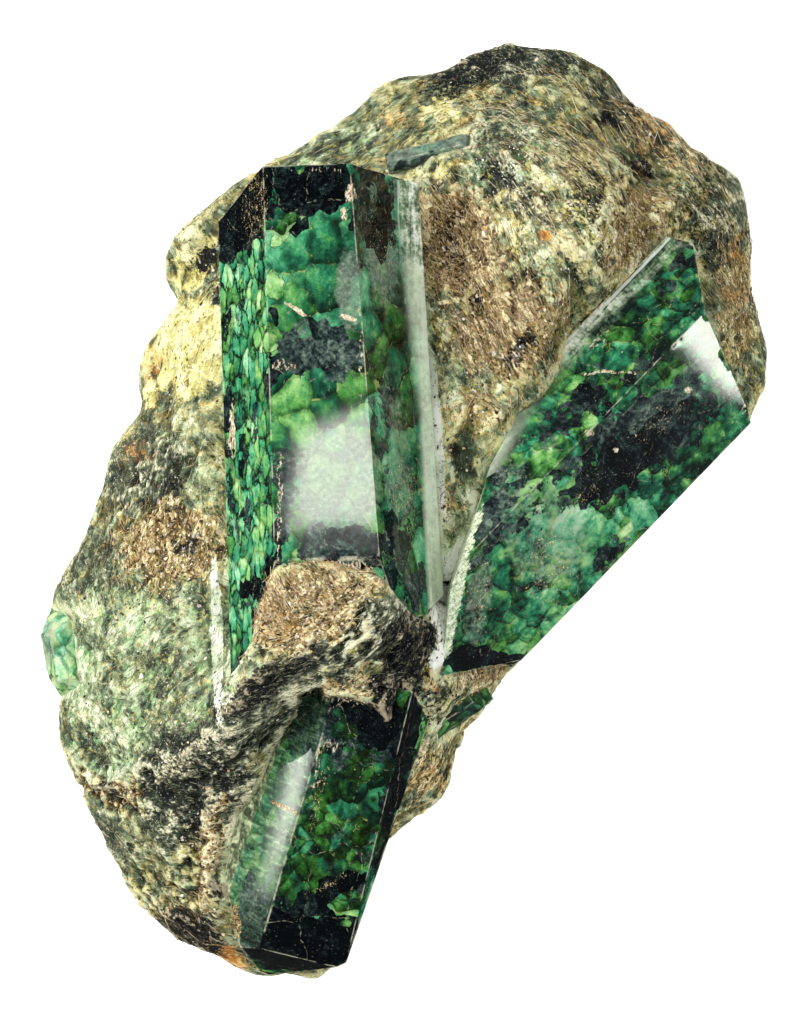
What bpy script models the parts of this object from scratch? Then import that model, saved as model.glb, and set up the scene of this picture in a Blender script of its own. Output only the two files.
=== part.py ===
"""An emerald specimen: three big polished beryl crystals and three small ones in mica schist.

It lies on its flat back at z = 0.  +Y runs up the specimen, +X to its right, and the
polished faces look up along +Z.  Run with: blender --background --python part.py
"""

import math

import bmesh
import bpy
from mathutils import Vector
from mathutils.geometry import delaunay_2d_cdt

MM = 0.001

# ---- driving dimensions (millimetres and degrees) ----------------------------------

SOCKET_GAP = 0.3            # clear space between a crystal and the rock around it
VOXEL = 1.7                 # grid that the rough rock is first built on
FACET_SHARE = 0.42          # share of that grid's facets which the rock keeps
ROUGHNESS_DEPTH = 1.3       # how far the broken surface wanders in and out
ROUGHNESS_SIZE = 6.0        # width of one wander
ROUGHNESS_LEVEL = 0.2       # share of the wander that goes inwards
BASE_TUCK = 0.90            # the rock's foot as a share of its widest outline
BELLY_TUCK = 0.98           # the rock's outline halfway up its side
BELLY_HEIGHT = 9.0
BASE_DEPTH = -4.0           # rock below the flat back, which the base cut takes off
BLOCK_HALF = 90.0           # half of the blank that a crystal's faces are cut from

# The widest outline of the rock, clockwise from the top: x, y, z.
OUTLINE = [
    (9.0, 58.6, 17), (13.0, 59.8, 17), (20.5, 59.5, 16), (25.0, 56.8, 16), (28.2, 53.5, 16),
    (30.2, 51.2, 17), (33.5, 50.2, 16), (36.6, 47.0, 16), (41.0, 43.8, 15), (43.2, 42.3, 15),
    (43.9, 37.0, 15), (44.8, 27.0, 15), (46.4, 21.5, 14), (46.6, 17.5, 14), (45.2, 13.0, 13),
    (42.6, 10.2, 13), (36.6, 4.7, 13), (28.8, -3.6, 13), (23.8, -8.9, 13), (16.2, -16.6, 14),
    (12.0, -21.5, 15), (9.6, -25.3, 14), (7.6, -27.6, 14), (6.1, -31.2, 14), (5.0, -36.0, 13),
    (1.8, -38.4, 13), (-1.0, -40.4, 13), (-4.0, -43.8, 13), (-6.2, -49.0, 13),
    (-8.2, -54.5, 12), (-9.4, -58.6, 12), (-11.4, -59.8, 12), (-17.9, -59.6, 13),
    (-21.8, -58.6, 14), (-25.6, -56.3, 15), (-28.8, -55.4, 15), (-32.0, -52.6, 14),
    (-35.8, -47.0, 14), (-39.7, -40.6, 14), (-41.6, -35.4, 15), (-43.9, -29.6, 15),
    (-44.4, -24.0, 15), (-45.8, -18.3, 14), (-46.3, -13.2, 15), (-44.4, -10.0, 16),
    (-41.8, -4.9, 16), (-38.7, 1.5, 17), (-36.9, 9.2, 17), (-33.7, 12.6, 16),
    (-34.0, 18.2, 15), (-32.0, 22.7, 15), (-28.4, 27.4, 16), (-31.2, 29.8, 14),
    (-30.8, 33.6, 14), (-28.2, 36.2, 15), (-24.2, 39.8, 16), (-21.2, 42.6, 17),
    (-15.8, 45.2, 17), (-10.9, 47.7, 17), (-6.4, 50.8, 17), (-3.8, 54.0, 17),
    (0.2, 55.6, 17), (4.6, 56.2, 18),
]

# Spot heights of the rock's surface inside the outline: x, y, z.
RELIEF = {
    "top rim": [
        (4.4, 51.7, 23), (12.6, 54.9, 22), (19.5, 54.3, 23), (24.5, 49.8, 24), (-2.6, 48.6, 22),
        (-9.4, 44.6, 21), (-13.5, 43.4, 21), (0.2, 45.6, 27), (5.0, 47.4, 28.5), (9.0, 48.6, 29),
        (14.4, 50.4, 26), (19.4, 47.9, 29), (25.8, 45.4, 26), (29.5, 41.6, 24), (35.7, 41.6, 21),
        (39.5, 35.4, 22), (40.6, 26.6, 23), (43.0, 20.0, 17),
    ],
    "pale shoulder": [
        (3.4, 43.0, 33.5), (8.2, 44.2, 33), (14.4, 42.9, 35), (19.4, 40.4, 37), (24.5, 37.9, 36),
        (29.5, 37.4, 31), (34.0, 39.0, 28), (19.4, 32.9, 39), (24.0, 31.6, 37.5), (27.0, 32.0, 34),
        (14.4, 32.9, 37), (18.2, 26.4, 38.5), (14.0, 27.0, 37.5), (22.5, 27.3, 35),
    ],
    "fibrous basin": [
        (3.4, 38.8, 34.4), (9.4, 38.6, 33), (6.0, 35.0, 31), (4.6, 28.0, 34.6), (9.4, 30.3, 33.5),
        (12.6, 21.8, 36.5), (16.6, 20.8, 37), (7.2, 21.0, 34.5),
    ],
    "valley": [
        (9.6, 14.6, 37), (13.4, 15.0, 37.6), (5.4, 13.0, 36.6), (10.2, 9.4, 37.8), (6.6, 5.4, 35),
        (8.0, 1.0, 37), (4.6, -1.4, 37.4), (4.2, -6.6, 37.0), (3.6, -11.6, 38.6), (4.0, -17.4, 38.8),
    ],
    "left knob": [
        (-27.6, 35.0, 19), (-25.0, 31.6, 17), (-25.0, 27.4, 20), (-23.8, 22.8, 25),
        (-28.2, 22.4, 21), (-30.4, 17.0, 19), (-25.4, 16.5, 26),
    ],
    "left shoulder": [
        (-24.0, 10.0, 30), (-28.2, 9.0, 27), (-33.0, 6.8, 21), (-34.5, 1.8, 22), (-29.5, 1.5, 29),
        (-24.6, 1.0, 33), (-32.0, -3.4, 29), (-27.8, -5.4, 31), (-37.0, -5.4, 23),
        (-24.4, -8.0, 35), (-38.6, -11.4, 23.5), (-32.0, -11.4, 30), (-27.2, -13.6, 33.5),
        (-42.4, -13.0, 19), (-37.0, -17.3, 26), (-31.6, -18.6, 30), (-26.6, -19.4, 34.5), (-24.9, -22.6, 35.6),
        (-38.4, -25.0, 24), (-32.0, -26.0, 29.5), (-27.4, -24.8, 34),
    ],
    "lower slope": [
        (-25.2, -28.2, 36.4), (-21.4, -31.0, 36.4), (-25.4, -33.4, 33),
        (-30.4, -35.6, 28), (-34.4, -35.8, 24), (-38.2, -36.4, 19), (-22.6, -37.4, 31),
        (-23.8, -42.4, 29.5), (-29.4, -43.4, 25), (-34.4, -43.4, 20), (-22.8, -48.2, 28.5),
        (-28.2, -49.6, 22), (-23.4, -53.6, 22),
    ],
    "crust and saddle": [
        (-15.6, -7.0, 50.9), (-9.0, -7.0, 51.2), (-3.4, -8.0, 50.6), (-16.4, -10.0, 50.2),
        (-10.0, -12.0, 50.4), (-4.4, -12.0, 50.0), (-17.6, -15.8, 48.6), (-11.0, -16.4, 49.0),
        (-5.4, -16.6, 47.4), (-19.9, -19.6, 45.6), (-13.4, -20.4, 45.6), (-7.4, -20.2, 44.8),
        (-21.7, -23.2, 43.0), (-16.8, -23.6, 43.6), (-22.6, -26.6, 41.4), (-19.0, -27.8, 40.0),
        (-11.6, -22.0, 43.2),
        (-1.4, -10.4, 46.8), (-0.4, -14.0, 44.6), (1.6, -13.0, 42.0), (-2.2, -18.0, 43.6),
        (2.2, -16.6, 40.8), (-2.6, -21.8, 42.8), (1.6, -20.6, 39.6), (-6.4, -24.2, 42.6),
        (-2.2, -26.2, 41.8), (-5.8, -27.0, 41.8), (-8.4, -22.4, 42.9), (0.8, -25.2, 37.0),
    ],
    "lower right lobe": [
        (4.6, -22.6, 34), (8.4, -22.2, 27), (4.2, -27.0, 24), (2.6, -31.4, 22.5), (0.2, -36.0, 21),
        (4.0, -34.0, 17),
    ],
    "under the central crystal": [
        (-11.0, 38.0, 26), (-11.0, 28.0, 28), (-11.0, 16.0, 30), (-11.0, 6.0, 32), (-18.6, 12.0, 28),
        (-19.6, 30.0, 24), (-18.4, -2.0, 33), (-9.0, -2.6, 36), (-19.8, -11.6, 34), (-22.0, -17.6, 34), (-2.4, 30.0, 27), (-2.0, 16.0, 28),
        (-2.0, 3.0, 31), (-0.8, -5.8, 36), (1.4, -8.0, 35),
    ],
    "under the right crystal": [
        (33.0, 28.0, 24), (26.0, 22.0, 26), (38.0, 18.0, 22), (23.0, 11.0, 28), (31.0, 9.0, 22),
        (14.0, 4.0, 30), (22.0, 0.0, 24), (10.5, -6.0, 31), (14.0, -10.0, 26), (8.0, -14.0, 30),
    ],
    "under the lower crystal": [
        (-6.0, -31.0, 31), (-12.4, -27.0, 32), (-8.0, -38.0, 27), (-15.0, -42.0, 26),
        (-10.6, -49.0, 24), (-17.4, -52.6, 23), (-13.0, -55.4, 22),
    ],
}

# A crystal is the space inside a few flat faces.  Its frame has the crystal's long axis
# along y, its front face up along z, and its right side along x.  A face is given by
# (roll, dip, point): roll turns its outward direction from the front towards the right,
# dip leans it towards the crystal's upper end, and point is a point that it passes through.
FRONT, BACK, RIGHT, LEFT = 0, 180, 90, -90
UPPER_END, LOWER_END = 90, -90

CENTRAL = {
    "place": (-10.9, 21.0, 46.2),       # middle of the front face
    "heading": 1.9,                     # of the long axis, anticlockwise from +Y
    "tilt": 7.0,                        # the upper end is this much lower
    "blocks": {
        "prism": [
            (FRONT, 0, (0, 0, 0)),
            (-60, 0, (-5.8, 0, 0)),
            (60, 2.1, (5.8, 0, 0)),
            (-120, 0, (-11.9, 0, -10.6)),
            (120, 0, (11.9, 0, -10.6)),
            (BACK, 0, (0, 0, -20.8)),
            (FRONT, UPPER_END, (0, 21.7, 0)),
            (LEFT, 51.5, (-5.9, 21.7, 0)),
            (FRONT, -24.5, (0, -27.0, 0)),
            (FRONT, -38.0, (0, -35.6, -4.0)),
            (RIGHT, -66.0, (-8.0, -42.2, 0)),
        ],
        "rim": [
            (35, -0.4, (11.7, 0, -9.7)),
            (RIGHT, 1.5, (13.8, 0, -11.2)),
            (LEFT, 0, (6.0, 0, 0)),
            (BACK, 0, (0, 0, -15.0)),
            (FRONT, UPPER_END, (0, 21.2, 0)),
            (RIGHT, -44.0, (13.2, -32.0, 0)),
        ],
    },
    "notch": [                          # the rock bites into the lower right corner here
        (LEFT, 0, (4.6, 0, 0)),
        (RIGHT, 46.2, (7.2, -29.8, 0)),
    ],
}

RIGHT_CRYSTAL = {
    "place": (23.85, 11.1, 38.0),       # middle of the ridge between the two top faces
    "heading": -44.3,
    "tilt": 7.5,
    "blocks": {
        "prism": [
            (-30, 0, (0, 0, 0)),
            (30, 0, (0, 0, 0)),
            (RIGHT, 0, (14.0, 0, 0)),
            (LEFT, 0, (-9.8, 0, 0)),
            (LEFT, -14.7, (-6.8, -8.0, 0)),
            (LEFT, -25.2, (-2.0, -20.6, 0)),
            (LEFT, -40.1, (6.0, -33.2, 0)),
            (RIGHT, -34.0, (10.5, -32.0, 0)),
            (LEFT, 64.3, (-8.2, 24.9, 0)),
            (RIGHT, 63.4, (14.0, 15.0, 0)),
            (BACK, 0, (0, 0, -15.0)),
        ],
        "ground rim": [
            (-10, 0, (-6.9, 0, -4.0)),
            (LEFT, 0, (-9.95, 0, 0)),
            (LEFT, -14.7, (-6.95, -8.04, 0)),
            (LEFT, 64.3, (-8.2, 24.6, 0)),
            (FRONT, LOWER_END, (0, -8.0, 0)),
            (RIGHT, 0, (-3.0, 0, 0)),
            (BACK, 0, (0, 0, -13.0)),
        ],
        "ground rim bend": [
            (-11.7, 5.4, (-5.15, -7.6, -2.97)),
            (LEFT, -14.7, (-7.05, -8.07, 0)),
            (LEFT, -25.2, (-2.1, -20.65, 0)),
            (FRONT, UPPER_END, (0, 1.0, 0)),
            (RIGHT, -14.7, (-3.4, -8.0, 0)),
            (BACK, 0, (0, 0, -12.0)),
        ],
    },
    "notch": [                          # the rock bites into the upper end here
        (LEFT, -49.0, (0, 19.4, 0)),
        (LEFT, -73.7, (0, 19.4, 0)),
    ],
}

LOWER = {
    "place": (-8.6, -37.5, 38.5),       # middle of the front face
    "heading": -13.7,
    "tilt": -8.9,                       # the upper end is higher
    "blocks": {
        "prism": [
            (FRONT, 0, (0, 0, 0)),
            (-42, 1.8, (-4.4, 0, 0)),
            (-55, 3.0, (-9.4, 0, -4.5)),
            (LEFT, 0, (-11.8, 0, 0)),
            (LEFT, 45, (-9.0, 11.2, 0)),
            (72, 0, (5.6, 0, 0)),
            (88, -5.0, (7.2, 0, 0)),
            (BACK, 0, (0, 0, -14.0)),
            (BACK, 62, (0, 17.5, 0)),
            (FRONT, -65, (0, -19.2, -1.0)),
            (LEFT, -28.4, (-9.9, -15.5, 0)),
            (RIGHT, -50, (5.0, -18.4, 0)),
        ],
    },
}

TOP_PRISM = {
    "place": (2.8, 44.9, 31.8),         # middle of its ridge
    "heading": -76.0,
    "tilt": 2.0,
    "blocks": {
        "prism": [
            (-25, 0, (0, 0, 0)),
            (28, 0, (0, 0, 0)),
            (LEFT, 0, (-1.2, 0, 0)),
            (RIGHT, 0, (1.3, 0, 0)),
            (BACK, 0, (0, 0, -3.4)),
            (FRONT, 62, (0, 5.2, -0.4)),
            (FRONT, LOWER_END, (0, -5.2, 0)),
        ],
    },
}

EDGE_BERYL = {
    "place": (-43.6, -18.2, 16.5),      # inside the lump
    "heading": 11.0,
    "tilt": 0.0,
    "blocks": {
        "lump": [
            (-22, 0, (0, 0, 3.6)),
            (-66, 0, (-1.9, 0, 1.5)),
            (-112, 0, (-2.6, 0, -1.0)),
            (38, 8, (2.0, 0, 2.6)),
            (RIGHT, 0, (3.2, 0, 0)),
            (BACK, 0, (0, 0, -5.5)),
            (-20, 55, (0, 4.4, 1.0)),
            (-62, 48, (-1.8, 3.6, 0)),
            (-30, -58, (0, -4.6, 1.0)),
            (-70, -30, (-2.2, -3.4, 0)),
        ],
    },
}

NOTCH_BERYL = {
    "place": (5.6, -24.2, 24.6),        # middle of its top face
    "heading": -56.0,
    "tilt": 0.0,
    "blocks": {
        "prism": [
            (FRONT, 0, (0, 0, 0)),
            (-52, 0, (-1.4, 0, 0)),
            (50, 0, (1.6, 0, 0)),
            (LEFT, 0, (-2.8, 0, 0)),
            (RIGHT, 0, (3.0, 0, 0)),
            (BACK, 0, (0, 0, -7.0)),
            (FRONT, 70, (0, 2.6, 0)),
            (FRONT, -70, (0, -3.2, 0)),
        ],
    },
}

CRYSTALS = {
    "central_crystal": CENTRAL,
    "right_crystal": RIGHT_CRYSTAL,
    "lower_crystal": LOWER,
    "top_prism": TOP_PRISM,
    "edge_beryl": EDGE_BERYL,
    "notch_beryl": NOTCH_BERYL,
}

FINISHES = {                            # base colour, roughness
    "mica_schist": ((0.20, 0.17, 0.09), 0.75),
    "polished_emerald": ((0.02, 0.16, 0.06), 0.08),
    "pale_beryl": ((0.16, 0.34, 0.14), 0.45),
    "dark_beryl": ((0.03, 0.10, 0.06), 0.40),
}

CRYSTAL_FINISH = {
    "central_crystal": "polished_emerald",
    "right_crystal": "polished_emerald",
    "lower_crystal": "polished_emerald",
    "top_prism": "dark_beryl",
    "edge_beryl": "pale_beryl",
    "notch_beryl": "dark_beryl",
}


# ---- helpers ------------------------------------------------------------------------

def clear_scene():
    for thing in list(bpy.data.objects):
        bpy.data.objects.remove(thing)


def make_material(name):
    colour, roughness = FINISHES[name]
    material = bpy.data.materials.new(name)
    material.use_nodes = True
    shader = material.node_tree.nodes["Principled BSDF"]
    shader.inputs["Base Color"].default_value = (*colour, 1.0)
    shader.inputs["Roughness"].default_value = roughness
    shader.inputs["Metallic"].default_value = 0.0
    return material


def add_object(name, mesh, material=None):
    thing = bpy.data.objects.new(name, mesh)
    bpy.context.collection.objects.link(thing)
    if material:
        mesh.materials.append(material)
    return thing


def mark_as_cutter(thing):
    thing.hide_render = True
    thing.display_type = "WIRE"


def add_boolean(target, tool, operation):
    modifier = target.modifiers.new(f"{operation.lower()} {tool.name}", "BOOLEAN")
    modifier.operation = operation
    modifier.solver = "EXACT"
    modifier.object = tool


# ---- crystals -----------------------------------------------------------------------

def outward(roll, dip):
    """The direction that a crystal face looks in, in the crystal's own frame."""
    roll, dip = math.radians(roll), math.radians(dip)
    return Vector((math.sin(roll) * math.cos(dip), math.sin(dip),
                   math.cos(roll) * math.cos(dip)))


def block_mesh(name, faces, grow=0.0):
    """The space inside the given faces, each moved outwards by grow millimetres."""
    bm = bmesh.new()
    bmesh.ops.create_cube(bm, size=2 * BLOCK_HALF)
    for roll, dip, point in faces:
        normal = outward(roll, dip)
        everything = bm.verts[:] + bm.edges[:] + bm.faces[:]
        cut = bmesh.ops.bisect_plane(bm, geom=everything, plane_co=Vector(point) + grow * normal,
                                     plane_no=normal, clear_outer=True)
        rim = [e for e in cut["geom_cut"] if isinstance(e, bmesh.types.BMEdge)]
        bmesh.ops.edgenet_fill(bm, edges=rim)
    bmesh.ops.remove_doubles(bm, verts=bm.verts[:], dist=0.001)
    bmesh.ops.recalc_face_normals(bm, faces=bm.faces[:])
    bmesh.ops.scale(bm, vec=(MM, MM, MM), verts=bm.verts[:])
    mesh = bpy.data.meshes.new(name)
    bm.to_mesh(mesh)
    bm.free()
    return mesh


def place_block(name, crystal, faces, grow=0.0, material=None):
    block = add_object(name, block_mesh(name, faces, grow), material)
    block.location = Vector(crystal["place"]) * MM
    block.rotation_euler = (-math.radians(crystal["tilt"]), 0.0, math.radians(crystal["heading"]))
    return block


def add_notch(block, label, crystal, grow=0.0):
    notch = place_block(label, crystal, crystal["notch"], grow)
    mark_as_cutter(notch)
    add_boolean(block, notch, "DIFFERENCE")


def build_crystal(name, crystal, material):
    """One named object: the first block, joined with the crystal's other blocks."""
    crystal_object = None
    for label, faces in crystal["blocks"].items():
        if crystal_object is None:
            crystal_object = place_block(name, crystal, faces, material=material)
            continue
        block = place_block(f"{name} {label}", crystal, faces)
        mark_as_cutter(block)
        add_boolean(crystal_object, block, "UNION")
    if "notch" in crystal:
        add_notch(crystal_object, f"{name} notch", crystal)
    return crystal_object


def build_sockets(name, crystal):
    """The crystal's blocks, a little bigger, for cutting its seat in the rock."""
    sockets = []
    for label, faces in crystal["blocks"].items():
        socket = place_block(f"{name} {label} socket", crystal, faces, grow=SOCKET_GAP)
        mark_as_cutter(socket)
        if "notch" in crystal:
            add_notch(socket, f"{name} {label} socket notch", crystal, grow=-SOCKET_GAP)
        sockets.append(socket)
    return sockets


# ---- rock ---------------------------------------------------------------------------

def rock_blank():
    """A closed blank: the relief on top, a side that tucks in, and a flat underside."""
    count = len(OUTLINE)
    spots = [spot for group in RELIEF.values() for spot in group]
    corners = OUTLINE + spots
    plan = [Vector(corner[:2]) for corner in corners]
    ring = [(i, (i + 1) % count) for i in range(count)]
    result = delaunay_2d_cdt(plan, ring, [], 1, 0.001)
    triangles, origins = result[2], result[3]

    bm = bmesh.new()
    top = [bm.verts.new(Vector(corner) * MM) for corner in corners]
    for triangle in triangles:
        bm.faces.new([top[origins[i][0]] for i in triangle])

    def lower_ring(share, height):
        return [bm.verts.new(Vector((x * share, y * share, height)) * MM) for x, y, _ in OUTLINE]

    belly = lower_ring(BELLY_TUCK, BELLY_HEIGHT)
    base = lower_ring(BASE_TUCK, BASE_DEPTH)
    for upper, lower in ((top[:count], belly), (belly, base)):
        for i in range(count):
            j = (i + 1) % count
            bm.faces.new((upper[i], upper[j], lower[j], lower[i]))
    bm.faces.new(base)
    bmesh.ops.triangulate(bm, faces=[f for f in bm.faces if len(f.verts) > 3])
    bmesh.ops.recalc_face_normals(bm, faces=bm.faces[:])
    mesh = bpy.data.meshes.new("matrix")
    bm.to_mesh(mesh)
    bm.free()
    return mesh


def build_base_cutter():
    """A slab whose top is the plane z = 0, so that the rock gets a flat back."""
    bm = bmesh.new()
    bmesh.ops.create_cube(bm, size=1.0)
    bmesh.ops.scale(bm, vec=(200 * MM, 200 * MM, 20 * MM), verts=bm.verts[:])
    bmesh.ops.translate(bm, vec=(0, 0, -10 * MM), verts=bm.verts[:])
    mesh = bpy.data.meshes.new("base cutter")
    bm.to_mesh(mesh)
    bm.free()
    cutter = add_object("base cutter", mesh)
    mark_as_cutter(cutter)
    return cutter


def build_matrix(material, sockets):
    matrix = add_object("matrix", rock_blank(), material)

    remesh = matrix.modifiers.new("facets", "REMESH")
    remesh.mode = "VOXEL"
    remesh.voxel_size = VOXEL * MM

    wander = bpy.data.textures.new("wander", "CLOUDS")
    wander.noise_scale = ROUGHNESS_SIZE * MM
    wander.noise_depth = 2
    displace = matrix.modifiers.new("broken surface", "DISPLACE")
    displace.texture = wander
    displace.texture_coords = "LOCAL"
    displace.mid_level = ROUGHNESS_LEVEL
    displace.strength = ROUGHNESS_DEPTH * MM

    thin = matrix.modifiers.new("fewer facets", "DECIMATE")
    thin.decimate_type = "COLLAPSE"
    thin.ratio = FACET_SHARE

    add_boolean(matrix, build_base_cutter(), "DIFFERENCE")
    for socket in sockets:
        add_boolean(matrix, socket, "DIFFERENCE")
    return matrix


def build():
    clear_scene()
    materials = {name: make_material(name) for name in FINISHES}
    sockets = []
    for name, crystal in CRYSTALS.items():
        build_crystal(name, crystal, materials[CRYSTAL_FINISH[name]])
        sockets += build_sockets(name, crystal)
    build_matrix(materials["mica_schist"], sockets)


build()
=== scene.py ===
import itertools
import math

import bpy
import numpy as np
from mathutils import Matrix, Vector


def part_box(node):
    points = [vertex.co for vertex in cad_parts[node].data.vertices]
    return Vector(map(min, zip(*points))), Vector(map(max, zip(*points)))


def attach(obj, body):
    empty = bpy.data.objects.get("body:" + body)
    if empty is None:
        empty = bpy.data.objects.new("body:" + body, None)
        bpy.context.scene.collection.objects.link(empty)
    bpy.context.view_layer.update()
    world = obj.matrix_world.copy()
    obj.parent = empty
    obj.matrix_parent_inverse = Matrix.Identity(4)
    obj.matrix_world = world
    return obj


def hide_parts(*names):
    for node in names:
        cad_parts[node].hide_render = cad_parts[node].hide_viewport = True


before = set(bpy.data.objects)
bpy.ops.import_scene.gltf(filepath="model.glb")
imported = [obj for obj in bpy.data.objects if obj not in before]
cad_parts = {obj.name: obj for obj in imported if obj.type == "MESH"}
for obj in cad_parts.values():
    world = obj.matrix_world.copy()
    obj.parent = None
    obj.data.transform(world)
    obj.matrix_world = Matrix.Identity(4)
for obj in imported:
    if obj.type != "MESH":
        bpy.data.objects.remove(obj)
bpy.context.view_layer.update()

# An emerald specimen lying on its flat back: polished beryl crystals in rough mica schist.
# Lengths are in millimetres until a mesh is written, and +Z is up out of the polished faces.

mm = 0.001
chance = np.random.default_rng(7)

view = {
    "eyeHeight": 620.0,          # the camera looks straight down from here
    "lens": 165.4,
    "sensor": 36.0,
    "frameMiddle": (405, 512),   # column and row of the frame's middle
    "pixelSize": 0.1275,         # what one pixel covers at seenHeight
    "seenHeight": 20.0,
}


def smooth(low, high, value):
    t = np.clip((value - low) / (high - low), 0.0, 1.0)
    return t * t * (3.0 - 2.0 * t)


def makeHash(seed):
    order = np.random.default_rng(seed).permutation(256)
    return np.concatenate([order, order])


def hashCells(table, cell):
    c = cell & 255
    return table[table[table[c[:, 0]] + c[:, 1]] + c[:, 2]]


def makeDirections(seed):
    spread = np.random.default_rng(seed + 100).normal(size=(256, 3))
    return spread / np.linalg.norm(spread, axis=1)[:, None]


def dots(a, b):
    return np.einsum("ij,ij->i", a, b)


# Gradient noise, about -1 to 1, with features one unit wide.
def waves(points, seed=1):
    table, directions = makeHash(seed), makeDirections(seed)
    cell = np.floor(points).astype(np.int64)
    part = points - cell
    fade = part ** 3 * (part * (part * 6 - 15) + 10)
    height = np.zeros(len(points))
    for corner in itertools.product((0, 1), repeat=3):
        weight = np.prod(np.where(corner, fade, 1 - fade), axis=1)
        slope = directions[hashCells(table, cell + np.array(corner))]
        height += weight * dots(slope, part - np.array(corner))
    return height * 1.6


def layers(points, octaves=3, seed=1, gain=0.5):
    height, size, scale = np.zeros(len(points)), 1.0, 0.0
    for octave in range(octaves):
        height += size * waves(points * 2.03 ** octave, seed + octave)
        scale += size
        size *= gain
    return height / scale


# Broken plates one unit wide: how far each tips up, its own random value, and how near its rim is.
def plates(points, seed=1):
    table = makeHash(seed)
    rng = np.random.default_rng(seed + 200)
    offsets, tips, tones = rng.random((256, 3)), rng.normal(size=(256, 3)), rng.random(256)
    cell = np.floor(points).astype(np.int64)
    best, second = np.full(len(points), 9.0), np.full(len(points), 9.0)
    chosen, away = np.zeros(len(points), np.int64), np.zeros((len(points), 3))
    for corner in itertools.product((-1, 0, 1), repeat=3):
        neighbour = cell + np.array(corner)
        code = hashCells(table, neighbour)
        gap = points - (neighbour + offsets[code])
        distance = dots(gap, gap)
        closer = distance < best
        second = np.where(closer, best, np.minimum(second, distance))
        best = np.where(closer, distance, best)
        chosen = np.where(closer, code, chosen)
        away[closer] = gap[closer]
    tip = dots(tips[chosen], away)
    return tip, tones[chosen], np.sqrt(second) - np.sqrt(best)


# Coordinates stretched along a direction in plan, so that noise turns into fibres.
def along(points, angle, length, width, depth=None):
    a = math.radians(angle)
    x = points[:, 0] * math.cos(a) + points[:, 1] * math.sin(a)
    y = -points[:, 0] * math.sin(a) + points[:, 1] * math.cos(a)
    return np.stack([x / length, y / width, points[:, 2] / (depth or width)], axis=1)


# Column and row at which each point shows in the 810 x 1024 frame.
def seen(points):
    reach = view["eyeHeight"] - view["seenHeight"]
    scale = reach / (view["pixelSize"] * (view["eyeHeight"] - points[:, 2]))
    return np.stack([view["frameMiddle"][0] + points[:, 0] * scale,
                     view["frameMiddle"][1] - points[:, 1] * scale], axis=1)


# How much of a named patch lies at each pixel: an ellipse with a soft rim, turned clockwise.
def patch(pixels, column, row, halfWide, halfHigh, turn=0.0, amount=1.0, soft=0.45):
    a = math.radians(turn)
    x, y = pixels[:, 0] - column, pixels[:, 1] - row
    across = (x * math.cos(a) + y * math.sin(a)) / halfWide
    down = (-x * math.sin(a) + y * math.cos(a)) / halfHigh
    return amount * (1 - smooth(1 - soft, 1 + soft, np.hypot(across, down)))


def patchwork(pixels, patches):
    share = np.zeros(len(pixels))
    for place in patches.values():
        share = np.maximum(share, patch(pixels, *place))
    return share


# Values of a mesh's vertices, edges or attributes, in columns.
def read(items, key, columns=3, kind=np.float32):
    values = np.empty(len(items) * columns, kind)
    items.foreach_get(key, values)
    return values.reshape(-1, columns).astype(float if kind == np.float32 else kind)


def readPoints(mesh):
    return read(mesh.vertices, "co") / mm


def writePoints(mesh, points):
    mesh.vertices.foreach_set("co", (points * mm).astype(np.float32).ravel())
    mesh.update()


def readNormals(mesh):
    return read(mesh.vertex_normals, "vector")


def store(mesh, name, values):
    kind = "FLOAT" if values.ndim == 1 else "FLOAT_VECTOR"
    attribute = mesh.attributes.new(name, kind, "POINT")
    attribute.data.foreach_set("value" if kind == "FLOAT" else "vector", values.astype(np.float32).ravel())


def addObject(name, data):
    thing = bpy.data.objects.new(name, data)
    bpy.context.scene.collection.objects.link(thing)
    return thing


# The piece's mesh with its modifiers applied, which then replaces it.
def applied(piece):
    graph = bpy.context.evaluated_depsgraph_get()
    result = bpy.data.meshes.new_from_object(piece.evaluated_get(graph))
    piece.modifiers.clear()
    piece.data = result
    return result


# The mean of each vertex's neighbours.
def neighbourMean(mesh, values):
    ends = read(mesh.edges, "vertices", 2, np.int32)
    count = np.bincount(ends.ravel(), minlength=len(mesh.vertices)).astype(float)
    columns = values if values.ndim == 2 else values[:, None]
    added = np.stack([
        np.bincount(ends[:, 0], column[ends[:, 1]], len(count))
        + np.bincount(ends[:, 1], column[ends[:, 0]], len(count)) for column in columns.T], axis=1)
    mean = added / np.maximum(count, 1)[:, None]
    return mean if values.ndim == 2 else mean[:, 0]


def remeshedCopy(node, name, **settings):
    piece = addObject(name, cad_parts[node].data.copy())
    piece.data.materials.clear()
    remesh = piece.modifiers.new("remesh", "REMESH")
    for key, value in settings.items():
        setattr(remesh, key, value)
    applied(piece)
    return piece


front, back, right, left = 0, 180, 90, -90
upperEnd, lowerEnd = 90, -90

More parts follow.
